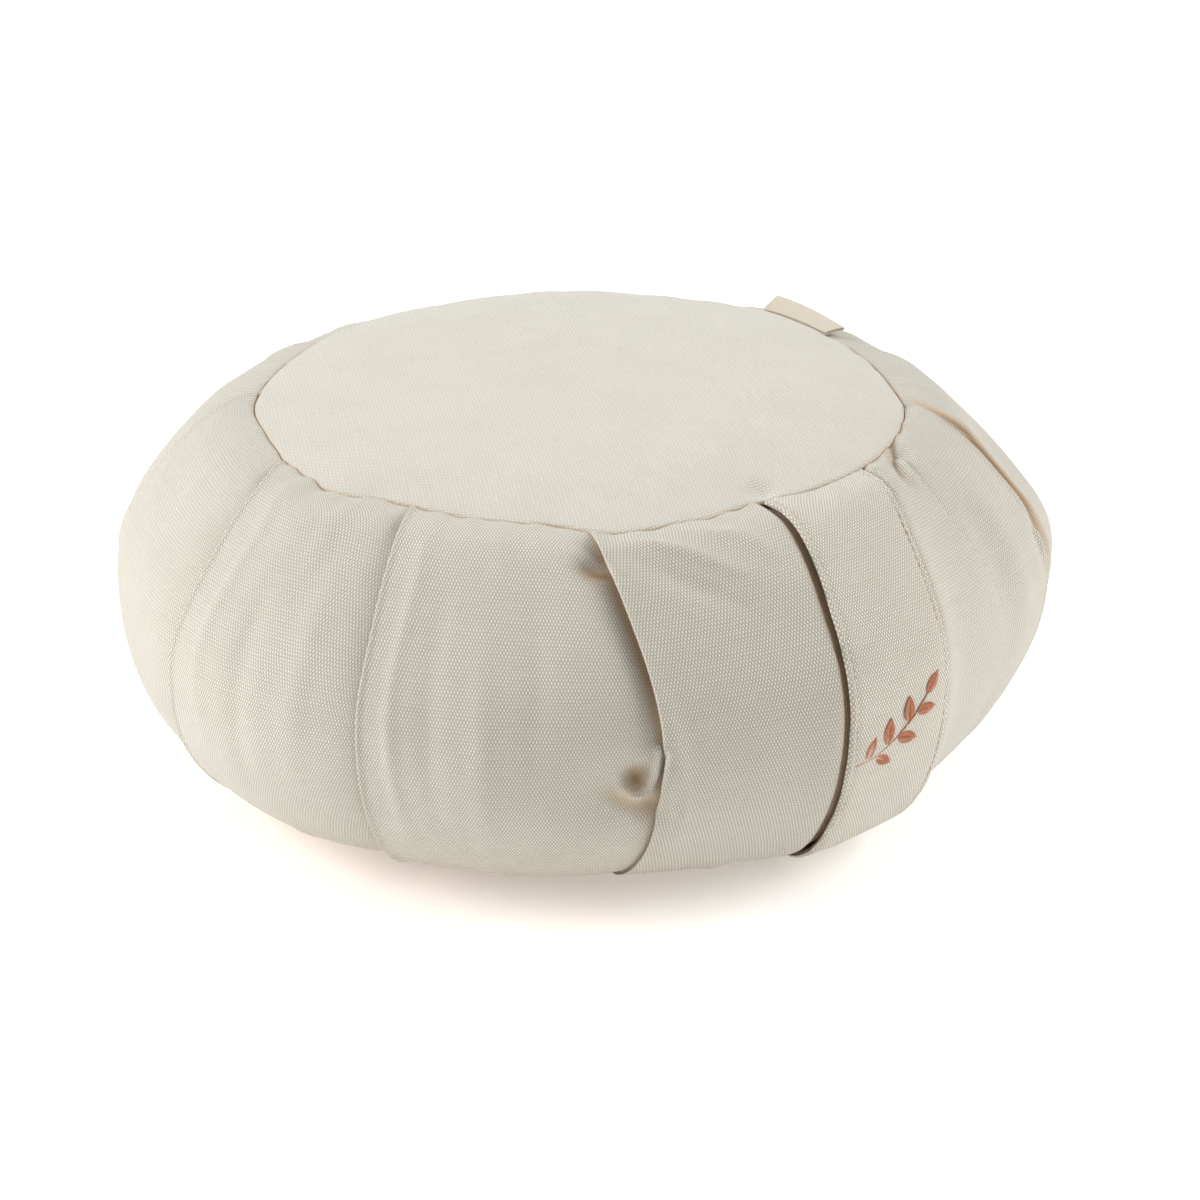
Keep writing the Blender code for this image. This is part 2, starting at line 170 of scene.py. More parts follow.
PLEATS = (
    Pleat(
        (-162.0, -161.0, -160.2, -159.6, -159.0, -159.2, -162.0),
        3.0 * MM, 1.8 * MM, 3.0 * MM, 3.0 * MM, SOFTER_BELOW,
    ),
    Pleat(
        (-133.0, -130.6, -128.0, -127.4, -127.6, -128.3, -132.0),
        3.0 * MM, 1.8 * MM, 3.0 * MM, 3.0 * MM, SOFTER_BELOW,
    ),
    Pleat(
        (-101.0, -96.6, -94.6, -93.3, -93.8, -96.4, -99.0),
        3.4 * MM, 2.6 * MM, 3.2 * MM, 3.0 * MM, EVEN,
    ),
    Pleat(
        (-69.4, -67.7, -66.3, -65.2, -64.9, -65.1, -67.0),
        3.4 * MM, 2.4 * MM, 3.2 * MM, 3.0 * MM, EVEN,
    ),
    Pleat(
        (-37.3, -36.2, -33.3, -30.7, -29.4, -30.3, -34.8),
        4.5 * MM, 5.4 * MM, 4.6 * MM, 4.5 * MM, DEEP_ABOVE, 6.4 * MM,
    ),
    Pleat(
        (-1.6, -1.4, -1.2, -1.0, -0.8, -1.0, -1.6),
        0.8 * MM, 0.6 * MM, 0.8 * MM, 1.5 * MM, EVEN,
    ),
    Pleat(
        (29.0, 24.6, 22.6, 23.5, 24.5, 25.6, 28.0),
        3.5 * MM, 1.8 * MM, 3.0 * MM, 3.0 * MM, SHORT_TUCK,
    ),
    Pleat(
        (50.5, 45.0, 41.6, 38.6, 37.4, 38.0, 42.0),
        4.0 * MM, 6.0 * MM, 4.0 * MM, 4.5 * MM, EVEN, 6.0 * MM,
    ),
    Pleat(
        (81.0, 79.6, 78.4, 77.7, 77.0, 77.6, 80.0),
        3.2 * MM, 2.0 * MM, 3.0 * MM, 3.0 * MM, EVEN,
    ),
    Pleat(
        (110.0, 109.0, 107.0, 106.2, 106.0, 106.9, 110.0),
        3.0 * MM, 2.2 * MM, 3.0 * MM, 3.0 * MM, SOFTER_BELOW,
    ),
    Pleat(
        (140.0, 138.6, 137.4, 136.0, 136.2, 136.8, 140.0),
        3.2 * MM, 1.8 * MM, 3.0 * MM, 3.0 * MM, EVEN,
    ),
    Pleat(
        (169.0, 168.4, 167.0, 166.0, 166.0, 166.9, 169.0),
        3.0 * MM, 2.0 * MM, 3.0 * MM, 3.0 * MM, SOFTER_BELOW,
    ),
)
# Rows of the table whose cloth needs closer columns.
CRISP_PLEATS = (2, 3)
DEEP_PLEATS = (4, 7)
HANDLE_PLEAT = 5

SWELLS = (
    Swell(42, 0.44, 12, 0.14, 1.8 * MM),
    Swell(-35, 0.58, 6, 0.07, -4.0 * MM),
    Swell(-50, 0.60, 14, 0.20, 2.5 * MM),
    Swell(-24, 0.16, 8, 0.10, 2.0 * MM),
    Swell(-84, 0.55, 18, 0.22, 1.5 * MM),
    Swell(126, 0.50, 20, 0.20, 2.0 * MM),
    Swell(40, 0.80, 20, 0.10, 3.5 * MM),
    Swell(34, 0.24, 9, 0.14, 1.4 * MM),
    Swell(58, 0.27, 12, 0.13, -7.0 * MM),
    Swell(-13, 0.16, 8, 0.10, 3.6 * MM),
)

# The fifth column paints shade along a crease, or below nought a highlight.
CREASES = (
    # The second soft ridge beside the two long pleats on the left.
    Crease(((-62.5, 0.05), (-61.5, 0.2), (-61.0, 0.49), (-60.1, 0.72)), 2.6 * MM, 0.9 * MM),
    Crease(((-91.1, 0.04), (-88.4, 0.17), (-88.3, 0.41), (-87.9, 0.60)), 2.6 * MM, 0.8 * MM),
    Crease(((-57.5, 0.16), (-56.6, 0.42), (-55.6, 0.68)), 3.6 * MM, -0.8 * MM),
    Crease(((-51.0, 0.26), (-50.0, 0.50), (-50.4, 0.72)), 3.8 * MM, 0.9 * MM),
    Crease(((-45.0, 0.20), (-44.0, 0.38), (-44.6, 0.56)), 3.6 * MM, -0.8 * MM),
    Crease(((-82.0, 0.24), (-81.0, 0.46), (-81.6, 0.66)), 3.8 * MM, -0.9 * MM),
    Crease(((-74.0, 0.20), (-73.0, 0.40), (-73.6, 0.60)), 4.2 * MM, 0.8 * MM),
    # Drag folds that run from the deep pleat under the top seam.
    Crease(((-31.5, 0.058), (-28.7, 0.074), (-23.2, 0.118), (-16.0, 0.186)), 2.4 * MM, 1.9 * MM),
    Crease(((-33.0, 0.10), (-28.0, 0.142), (-22.9, 0.195), (-17.0, 0.25)), 3.2 * MM, -1.5 * MM),
    Crease(((-22.0, 0.05), (-15.0, 0.10), (-11.0, 0.16)), 3.0 * MM, 1.1 * MM),
    # This ridge has a painted highlight along it.
    Crease(
        ((-29.2, 0.40), (-28.4, 0.468), (-27.6, 0.53), (-26.9, 0.60), (-27.0, 0.66), (-28.6, 0.76)),
        2.6 * MM,
        1.4 * MM,
        painted_shade=-0.3,
    ),
    # The cloth curls round a pit beside the deep pleat; its ridge has a painted highlight and the
    # groove below it painted shade.
    Crease(
        (
            (-29.6, 0.505),
            (-30.2, 0.552),
            (-31.0, 0.582),
            (-32.0, 0.593),
            (-33.1, 0.588),
            (-34.0, 0.576),
        ),
        1.7 * MM,
        3.8 * MM,
        1.0,
        -0.8,
    ),
    Crease(((-34.0, 0.576), (-34.8, 0.552), (-35.2, 0.528)), 1.8 * MM, 1.6 * MM, 0.9, -0.25),
    Crease(((-32.4, 0.625), (-34.6, 0.606), (-36.2, 0.575)), 2.0 * MM, -0.9 * MM, 0.9, 0.35),
    # The far panel rolls up beside the pleat on the right; the two thin lines beside it carry a
    # painted shadow where it comes out from behind the pleat's edge.
    Crease(
        ((53.6, 0.05), (48.2, 0.10), (44.8, 0.20), (42.2, 0.30), (41.0, 0.40), (41.4, 0.55)),
        4.2 * MM,
        3.2 * MM,
        0.1,
    ),
    Crease(
        ((51.5, 0.03), (47.2, 0.095), (45.0, 0.165), (42.2, 0.28), (40.3, 0.385), (40.5, 0.47)),
        1.1 * MM,
        -0.2 * MM,
        0.4,
        1.0,
    ),
    Crease(
        ((52.5, 0.03), (48.0, 0.095), (45.8, 0.165), (43.0, 0.28), (41.1, 0.385), (41.2, 0.50)),
        3.4 * MM,
        -0.1 * MM,
        0.4,
        0.3,
    ),
    # Short tucks between the handle and the pleat on its right; the first has painted shade in its
    # groove.
    Crease(
        ((30.0, 0.0), (25.6, 0.03), (23.0, 0.055), (20.9, 0.09), (20.1, 0.125)),
        1.8 * MM,
        -2.8 * MM,
        0.9,
        0.35,
    ),
    Crease(((34.0, 0.01), (29.5, 0.05), (27.0, 0.11)), 3.0 * MM, 1.2 * MM),
    Crease(((39.0, 0.345), (37.0, 0.40), (36.4, 0.46)), 2.0 * MM, -1.6 * MM),
    Crease(((33.0, 0.08), (30.0, 0.30), (29.5, 0.52)), 5.0 * MM, 0.9 * MM),
    Crease(((27.5, 0.16), (25.5, 0.40), (26.5, 0.66)), 5.0 * MM, -0.8 * MM),
    # Slack lines of the wide panels, from the seams inwards.
    Crease(((-52.0, 0.02), (-50.5, 0.10), (-50.0, 0.18)), 3.0 * MM, 0.6 * MM),
    Crease(((-79.0, 0.02), (-78.0, 0.12), (-77.6, 0.22)), 3.2 * MM, 0.6 * MM),
    Crease(((-113.0, 0.02), (-110.0, 0.14), (-108.6, 0.28)), 3.0 * MM, 0.6 * MM),
    Crease(((62.0, 0.02), (60.6, 0.12), (60.0, 0.26)), 3.2 * MM, 0.8 * MM),
    Crease(((93.0, 0.02), (92.0, 0.10), (91.8, 0.22)), 3.0 * MM, 0.6 * MM),
    Crease(((124.0, 0.02), (122.5, 0.12), (122.0, 0.24)), 3.0 * MM, 0.6 * MM),
    Crease(((153.0, 0.02), (151.5, 0.10), (151.0, 0.20)), 3.0 * MM, 0.6 * MM),
    Crease(((-176.0, 0.02), (-175.0, 0.12), (-174.6, 0.24)), 3.0 * MM, 0.6 * MM),
    Crease(((-147.0, 0.02), (-145.0, 0.12), (-144.0, 0.24)), 3.0 * MM, 0.6 * MM),
    Crease(((-48.0, 0.97), (-50.0, 0.86), (-51.0, 0.76)), 3.0 * MM, 0.6 * MM),
    Crease(((-82.0, 0.97), (-80.0, 0.86), (-79.4, 0.74)), 3.0 * MM, 0.6 * MM),
    Crease(((-20.0, 0.97), (-19.0, 0.88), (-18.6, 0.80)), 3.0 * MM, 0.6 * MM),
    Crease(((58.0, 0.97), (59.0, 0.84), (59.4, 0.74)), 3.0 * MM, 0.7 * MM),
    Crease(((96.0, 0.97), (94.6, 0.86), (94.0, 0.78)), 3.0 * MM, 0.6 * MM),
    Crease(((126.0, 0.97), (124.6, 0.86), (124.0, 0.78)), 3.0 * MM, 0.6 * MM),
)

# A dent of no height only paints shade on the cloth.
DENTS = (
    # The hollow beside the deep pleat, under the top seam, and its painted shade.
    Dent(-37.2, 0.128, 5.4 * MM, 4.2 * MM, -3.0 * MM),
    Dent(-36.6, 0.138, 5.4 * MM, 3.0 * MM, 0.0, 0.95),
    # The pit beside the deep pleat, and the pucker below it, each with painted shade.
    Dent(-32.5, 0.556, 4.4 * MM, 5.2 * MM, -4.0 * MM),
    Dent(-32.4, 0.576, 6.4 * MM, 5.6 * MM, 0.0, 0.98),
    Dent(-30.8, 0.628, 4.6 * MM, 4.0 * MM, -2.8 * MM),
    Dent(-30.7, 0.634, 3.6 * MM, 3.2 * MM, 0.0, 0.6),
    # The cloth gathered beside the short tuck.
    Dent(27.5, 0.035, 4.0 * MM, 4.0 * MM, -1.6 * MM),
    Dent(17.5, 0.030, 3.4 * MM, 4.0 * MM, 1.3 * MM),
)


# ------------------------------------------------------------------ small helpers


def wrapped(bearing: Array | float) -> Array | float:
    """The bearing between -180 and 180."""
    return (bearing + 180.0) % 360.0 - 180.0


def eased(rows: tuple, column: str, bearing: Array | float) -> Array:
    """Reads a column of a table of bearings without corners, all the way round.

    Args:
        rows: The table, sorted by bearing.
        column: The name of the column.
        bearing: Where it is read, in degrees.

    Returns:
        The column's value at each bearing.
    """
    knots = np.array([row.bearing for row in rows], float)
    values = np.array([getattr(row, column) for row in rows], float)
    at = np.asarray(wrapped(bearing), float)
    after = np.searchsorted(knots, at, side="right") % len(knots)
    low, high = knots[after - 1], knots[after]
    share = ((at - low) % 360.0) / ((high - low) % 360.0)
    share = (1.0 - np.cos(math.pi * share)) / 2.0
    return values[after - 1] + (values[after] - values[after - 1]) * share


def bell(away: Array, width: float) -> Array:
    """A soft bump, 1 in its middle, that dies away within about twice its width."""
    return np.exp(-((away / width) ** 2))


def fading(away: Array, reach: float) -> Array:
    """A share that falls from 1, to a third of it at each further reach."""
    return np.exp(-away / reach)


def falling(at: Array) -> Array:
    """A share that falls smoothly from 1 to 0 as a value passes nought."""
    return 1.0 / (1.0 + np.exp(np.clip(at, -50.0, 50.0)))


def mound(aside: Array, along: Array) -> Array:
    """A soft round bump, from the distances to its middle as shares of its width."""
    return np.exp(-(aside**2) - along**2)


def through(at_seam: float, at_girth: float, at_hem: float, drop: Array) -> Array:
    """The smooth curve through a value at the top seam, the girth and the hem."""
    return (
        at_seam * 2.0 * (drop - 0.5) * (drop - 1.0)
        + at_girth * 4.0 * drop * (1.0 - drop)
        + at_hem * 2.0 * drop * (drop - 0.5)
    )


def along_stations(values: tuple[float, ...], drop: Array) -> Array:
    """A smooth curve through values given at the stations.

    Args:
        values: One value a station.
        drop: Where it is read.

    Returns:
        The value at each drop.
    """
    knots = np.array(STATIONS)
    heights = np.array(values, float)
    slopes = np.gradient(heights, knots)
    at = np.clip(np.asarray(drop, float), 0.0, 1.0)
    i = np.clip(np.searchsorted(knots, at, side="right") - 1, 0, len(knots) - 2)
    span = knots[i + 1] - knots[i]
    t = (at - knots[i]) / span
    return (
        heights[i] * (1 + 2 * t) * (1 - t) ** 2
        + slopes[i] * span * t * (1 - t) ** 2
        + heights[i + 1] * t**2 * (3 - 2 * t)
        + slopes[i + 1] * span * t**2 * (t - 1)
    )


def placed(radius: Array, bearing: Array, height: Array) -> Array:
    """Points of the row from their radius, bearing and height."""
    turn = np.radians(bearing)
    return np.stack(
        np.broadcast_arrays(radius * np.sin(turn), -radius * np.cos(turn), height), axis=-1
    )


def ripple(at: Array, seed: int, waves: tuple[int, int], count: int = 14) -> Array:
    """An uneven wave round the cushion, between about -1 and 1.

    Args:
        at: Bearings in degrees.
        seed: Makes one ripple unlike the next.
        waves: The fewest and the most waves in a whole turn.
        count: How many plain waves are added up.

    Returns:
        The height of the wave at each bearing.
    """
    rng = np.random.default_rng(seed)
    total = np.zeros(np.shape(at))
    for _ in range(count):
        total += np.cos(
            np.radians(at) * int(rng.integers(waves[0], waves[1])) + rng.uniform(0, 2 * math.pi)
        )
    return total / math.sqrt(count)


def unevenness(across: Array, down: Array, seed: int, length: float, count: int = 26) -> Array:
    """A soft two-way unevenness of cloth, between about -1 and 1.

    Args:
        across: Distance across the cloth in metres.
        down: Distance down the cloth in metres.
        seed: Makes one piece unlike the next.
        length: The shortest wave in metres; the longest is three times that.
        count: How many plain waves are added up.

    Returns:
        The unevenness at each point.
    """
    rng = np.random.default_rng(seed)
    total = np.zeros(np.broadcast(across, down).shape)
    for _ in range(count):
        turn = rng.uniform(0, 2 * math.pi)
        wave = 2 * math.pi / (length * rng.uniform(1.0, 3.0))
        phase = rng.uniform(0, 2 * math.pi)
        total += np.cos(wave * (across * math.cos(turn) + down * math.sin(turn)) + phase)
    return total / math.sqrt(count)


# -------------------------------------------------------------- the smooth shapes


@dataclass(frozen=True)
class CushionForm:
    """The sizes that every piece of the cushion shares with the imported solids."""

    top_seam_height: float = 131.3 * MM
    top_seam_radius: float = 114.0 * MM
    top_crown: float = 7.0 * MM
    top_crown_power: float = 4.6
    bottom_seam_height: float = 6.0 * MM
    bottom_seam_radius: float = 115.0 * MM
    flat_radius: float = 104.0 * MM
    turn_up_power: float = 1.6
    cloth: float = 1.8 * MM
    gap: float = 0.3 * MM
    slit: float = 0.1 * MM
    upper_slack: float = 0.06
    puff_height: float = 1.5 * MM
    puff_faces: float = -39.0
    puff_drop: float = 0.10
    puff_spread: float = 0.06
    far_puff_share: float = 2.2
    far_puff_drop: float = 0.07
    far_puff_spread: float = 0.08
    wall_length: float = 178.0 * MM
    seam_roll: float = 0.5 * MM
    seam_roll_spread: float = 1.6 * MM
    sewn_reach: float = 1.2 * MM
    crimp: float = 0.42 * MM
    crimp_reach: float = 9.0 * MM
    wall_unevenness: float = 0.28 * MM
    wall_wave: float = 34.0 * MM
    # Painted shade along the top seam and the hem, and how far it reaches.
    seam_shade: float = 0.60
    seam_shade_reach: float = 0.6 * MM
    hem_shade: float = 0.45
    hem_shade_reach: float = 2.2 * MM
    top_crimp: float = 0.22 * MM
    top_crimp_reach: float = 10.0 * MM
    top_unevenness: float = 0.30 * MM
    top_wave: float = 45.0 * MM
    top_firm_rim: float = 20.0 * MM
    dimple_depth: float = 2.6 * MM
    dimple_place: tuple[float, float] = (-6.0 * MM, -104.5 * MM)
    dimple_size: tuple[float, float] = (4.5 * MM, 4.0 * MM)

    def seam_radius(self, bearing: Array | float) -> Array:
        """How far out the top seam lies at a bearing."""
        return eased(SEAM, "radius", bearing)

    def crown_height(self, share: Array) -> Array:
        """The top panel's plain upper face at a share of the way to its seam."""
        return self.top_seam_height + self.top_crown * (1.0 - share**self.top_crown_power)

    def base_height(self, share: Array) -> Array:
        """The bottom panel's lower face: flat, then turned up to its seam."""
        flat = self.flat_radius / self.bottom_seam_radius
        past = np.clip((share - flat) / (1.0 - flat), 0.0, None)
        return self.bottom_seam_height * past**self.turn_up_power

    def profile(self, bearing: Array, drop: Array) -> tuple[Array, Array]:
        """Radius and height of the smooth wall."""
        girth = eased(SECTIONS, "girth_radius", bearing)
        middle = eased(SECTIONS, "girth_height", bearing)
        hem_slack = eased(SECTIONS, "hem_slack", bearing)
        turn = math.pi * (0.5 - drop)
        out, up = np.cos(turn), np.sin(turn)
        upper = up >= 0.0
        seam = np.where(upper, self.seam_radius(bearing), self.bottom_seam_radius) + self.slit
        reach = np.where(upper, self.top_seam_height - middle, middle - self.bottom_seam_height)
        slack = np.where(upper, self.upper_slack, hem_slack) * np.sin(2.0 * turn) ** 2
        radius = seam + (girth - seam) * (out - slack)
        height = middle + reach * (up - np.copysign(slack, up))
        facing = np.cos(np.radians(bearing - self.puff_faces))
        near = bell(drop - self.puff_drop, self.puff_spread)
        far = self.far_puff_share * facing * bell(drop - self.far_puff_drop, self.far_puff_spread)
        return radius, height + self.puff_height * np.where(facing > 0.0, facing * near, far)

    def over_wall(self, bearing: Array, drop: Array, off: Array) -> tuple[Array, Array]:
        """Radius and height of points this far off the smooth wall.

        Args:
            bearing: The points' bearings.
            drop: How far down the wall they lie.
            off: How far off it they stand.

        Returns:
            Radius and height of each point.
        """
        step = 0.004
        above = self.profile(bearing, np.maximum(drop - step, 0.0))
        below = self.profile(bearing, np.minimum(drop + step, 1.0))
        along = np.hypot(below[0] - above[0], below[1] - above[1])
        radius, height = self.profile(bearing, drop)
        radius = radius + off * (above[1] - below[1]) / along
        height = height + off * (below[0] - above[0]) / along
        return radius, height

    def top_relief(self, bearing: Array, radius: Array) -> Array:
        """Small dents and puckers of the top panel, off its plain crown."""
        inset = np.maximum(self.seam_radius(bearing) - radius, 0.0)
        x = radius * np.sin(np.radians(bearing))
        y = -radius * np.cos(np.radians(bearing))
        crimp = ripple(bearing, 11, (16, 44)) * fading(inset, self.top_crimp_reach) * self.top_crimp
        soft = unevenness(x, y, 5, self.top_wave) * self.top_unevenness
        soft = soft * np.clip(inset / self.top_firm_rim, 0.0, 1.0)
        aside = (x - self.dimple_place[0]) / self.dimple_size[0]
        along = (y - self.dimple_place[1]) / self.dimple_size[1]
        return crimp + soft - self.dimple_depth * mound(aside, along)

    def wall_relief(self, bearing: Array, drop: Array) -> Array:
        """Creases, dents and unevenness of the wall's cloth, off its pleats.

        Args:
            bearing: The points' bearings.
            drop: How far down the wall they lie.

        Returns:
            How far each point moves outwards.
        """
        total = np.zeros(np.broadcast(bearing, drop).shape)
        radius, _ = self.profile(bearing, drop)
        for row in SWELLS:
            aside = wrapped(bearing - row.bearing) / row.width_deg
            along = (drop - row.drop) / row.width_drop
            total += row.height * mound(aside, along) * np.sin(math.pi * drop)
        from_top = drop * self.wall_length
        from_hem = (1.0 - drop) * self.wall_length
        loose = 1.0 - fading(from_top, self.sewn_reach)
        for dent in DENTS:
            total += loose * dent.height * self.dent_shape(dent, bearing, drop, radius)
        for crease in CREASES:
            total += loose * crease.height * self.crease_shape(crease, bearing, drop, radius)
        for away, seed, waves in ((from_top, 3, (24, 70)), (from_hem, 4, (24, 60))):
            total += ripple(bearing, seed, waves) * fading(away, self.crimp_reach) * self.crimp
            total -= self.seam_roll * fading(away, self.seam_roll_spread)
        soft = unevenness(np.radians(bearing) * radius, from_top, 7, self.wall_wave)
        return total + soft * self.wall_unevenness * np.sin(math.pi * drop)

    def dent_shape(self, dent: Dent, bearing: Array, drop: Array, radius: Array) -> Array:
        """The share of a dent's height at the wall's points, at this radius."""
        aside = radius * np.radians(wrapped(bearing - dent.bearing)) / dent.across
        along = (drop - dent.drop) * self.wall_length / dent.down
        return mound(aside, along)

    def crease_shape(self, crease: Crease, bearing: Array, drop: Array, radius: Array) -> Array:
        """The share of a crease's height at the wall's points.

        Args:
            crease: The row of the table.
            bearing: The points' bearings.
            drop: How far down the wall they lie.
            radius: The wall's radius there.

        Returns:
            The share, from 0 to 1, at each point.
        """
        nearest = np.full(bearing.shape, 1.0)
        share = np.zeros(bearing.shape)
        pairs = list(zip(crease.path, crease.path[1:]))
        for index, (start, end) in enumerate(pairs):
            px = np.radians(wrapped(bearing - start[0])) * radius
            py = (drop - start[1]) * self.wall_length
            dx = np.radians(wrapped(end[0] - start[0])) * radius
            dy = (end[1] - start[1]) * self.wall_length
            t = np.clip((px * dx + py * dy) / (dx * dx + dy * dy), 0.0, 1.0)
            away = np.hypot(px - t * dx, py - t * dy)
            closer = away < nearest
            nearest = np.where(closer, away, nearest)
            share = np.where(closer, (index + t) / len(pairs), share)
        fade = np.interp(share, (0.0, 0.3, 0.7, 1.0), (crease.start, 1.0, 0.9, 0.3))
        return fade * bell(nearest, crease.width)

    def wall_painted_shade(self, bearing: Array, drop: Array) -> Array:
        """How much painted shade the top seam, the hem, the dents and the creases put on the wall
        (below nought, a painted highlight).
        """
        radius, _ = self.profile(bearing, drop)
        total = self.seam_shade * fading(drop * self.wall_length, self.seam_shade_reach)
        total = total + self.hem_shade * fading((1.0 - drop) * self.wall_length, self.hem_shade_reach)
        for dent in DENTS:
            total = total + dent.painted_shade * self.dent_shape(dent, bearing, drop, radius)
        for crease in CREASES:
            if crease.painted_shade:
                total = total + crease.painted_shade * self.crease_shape(crease, bearing, drop, radius)
        return total


FORM = CushionForm()


# ------------------------------------------------------------------ mesh helpers


@dataclass(frozen=True)
class Piece:
    """A finished piece: its name, the node that it stands for and its record slot."""

    name: str
    node: str | None
    slot: str

    def finish(self, mesh: bpy.types.Mesh, material: bpy.types.Material) -> bpy.types.Object:
        """Makes the object of a mesh, hangs it under the body's empty and hides the imported part
        that it stands for, if any.

        Args:
            mesh: The finished mesh.
            material: Its material.

        Returns:
            The new object.
        """
        mesh.materials.append(material)
        mesh.shade_smooth()
        piece = bpy.data.objects.new(self.name, mesh)
        bpy.context.scene.collection.objects.link(piece)
        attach(piece, BODY)
        if self.node:
            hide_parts(self.node)
        LOG.info("%s: %d faces", self.name, len(mesh.polygons))
        return piece


def mesh_from(name: str, bm: bmesh.types.BMesh) -> bpy.types.Mesh:
    """The mesh of a finished bmesh."""
    mesh = bpy.data.meshes.new(name)
    bm.to_mesh(mesh)
    bm.free()
    return mesh


def read_points(mesh: bpy.types.Mesh) -> Array:
    """Every vertex of a mesh as an array of x, y, z."""
    flat = np.empty(len(mesh.vertices) * 3, np.float32)
    mesh.vertices.foreach_get("co", flat)
    return flat.reshape(-1, 3).astype(float)


def write_points(mesh: bpy.types.Mesh, points: Array) -> None:
    """Moves every vertex of a mesh to its point."""
    mesh.vertices.foreach_set("co", points.astype(np.float32).ravel())
    mesh.update()


def corner_verts(mesh: bpy.types.Mesh) -> Array:
    """The vertex of every corner of a mesh's faces."""
    index = np.empty(len(mesh.loops), np.int32)
    mesh.loops.foreach_get("vertex_index", index)
    return index


def lay_cloth_map(mesh: bpy.types.Mesh, corners: Array) -> None:
    """Writes the cloth's own map, in metres across and down it, one pair a corner."""
    layer = mesh.uv_layers.new(name="cloth")
    layer.uv.foreach_set("vector", corners.astype(np.float32).ravel())


def paint_shade_and_highlight(mesh: bpy.types.Mesh, depth: Array) -> None:
    """Writes each vertex's painted shade into the crease attribute, 1 inside a fold and -1 for a
    painted highlight on its lit edge.
    """
    layer = mesh.attributes.new(name="crease", type="FLOAT", domain="POINT")
    layer.data.foreach_set("value", np.clip(depth, -1.0, 1.2).astype(np.float32))


def thickened(bm: bmesh.types.BMesh) -> bmesh.types.BMesh:
    """Makes a flat surface at z = 0 a closed slab one unit thick."""
    top = bmesh.ops.extrude_face_region(bm, geom=list(bm.faces), use_keep_orig=True)
    verts = [item for item in top["geom"] if isinstance(item, bmesh.types.BMVert)]
    bmesh.ops.translate(bm, verts=verts, vec=(0.0, 0.0, 1.0))
    bmesh.ops.recalc_face_normals(bm, faces=bm.faces)
    return bm


def two_sided_grid(across: int, along: int) -> bmesh.types.BMesh:
    """A closed flat slab one unit wide, long and thick, with its faces in rows.

    Args:
        across: Faces across it.
        along: Faces along it.

    Returns:
        The slab, from -0.5 to 0.5 in x and y and from 0 to 1 in z.
    """
    bm = bmesh.new()
    bmesh.ops.create_grid(bm, x_segments=across, y_segments=along, size=0.5)
    return thickened(bm)


def round_slab(rings: int, steps: int) -> bmesh.types.BMesh:
    """A closed round slab one unit in radius and thickness, with rings of faces.

    Args:
        rings: Rings of faces from the middle out.
        steps: Faces in a ring.

    Returns:
        The slab, with its lower side at z = 0 and its upper side at z = 1.
    """
    bm = bmesh.new()
    line = [bm.verts.new((step / rings, 0.0, 0.0)) for step in range(rings + 1)]
    for inner, outer in zip(line, line[1:]):
        bm.edges.new((inner, outer))
    bmesh.ops.spin(
        bm,
        geom=line + list(bm.edges),
        cent=(0.0, 0.0, 0.0),
        axis=(0.0, 0.0, 1.0),
        dvec=(0.0, 0.0, 0.0),
        angle=2.0 * math.pi,
        steps=steps,
        use_merge=True,
        use_duplicate=False,
    )
    bmesh.ops.remove_doubles(bm, verts=bm.verts, dist=1e-5)
    return thickened(bm)


def disc_places(mesh: bpy.types.Mesh) -> tuple[Array, Array, Array]:
    """Where a round slab's vertices belong on a panel, with its rings closer at the rim.

    Args:
        mesh: The round slab, one unit in radius and thickness.

    Returns:
        Each vertex's bearing, its share of the way to the rim, and True on the upper side.
    """
    unit = read_points(mesh)
    bearing = np.degrees(np.arctan2(unit[:, 0], -unit[:, 1]))
    outward = np.clip(np.hypot(unit[:, 0], unit[:, 1]), 0.0, 1.0)
    return bearing, 1.0 - (1.0 - outward) ** 1.6, unit[:, 2] > 0.5


def add_bead(bm: bmesh.types.BMesh, start: Vector, end: Vector, up: Vector, width: float) -> None:
    """Adds one small rounded stitch of thread between two points.

    Args:
        bm: The bmesh that it goes into.
        start: One end of the thread.
        end: Its other end.
        up: The direction away from the cloth.
        width: The thread's thickness.
    """
    run = end - start
    length = run.length
    if length < 1e-6:
        return
    run = run / length
    side = up.cross(run).normalized()
    lift = run.cross(side)
    turn = Matrix((side, lift, run)).transposed().to_4x4()
    size = Matrix.Diagonal((width / 2, width / 2, length / 2 + width / 4, 1.0))
    place = Matrix.Translation((start + end) / 2)
    bmesh.ops.create_uvsphere(
        bm, u_segments=6, v_segments=5, radius=1.0, matrix=place @ turn @ size
    )


# --------------------------------------------------------------------- finishes


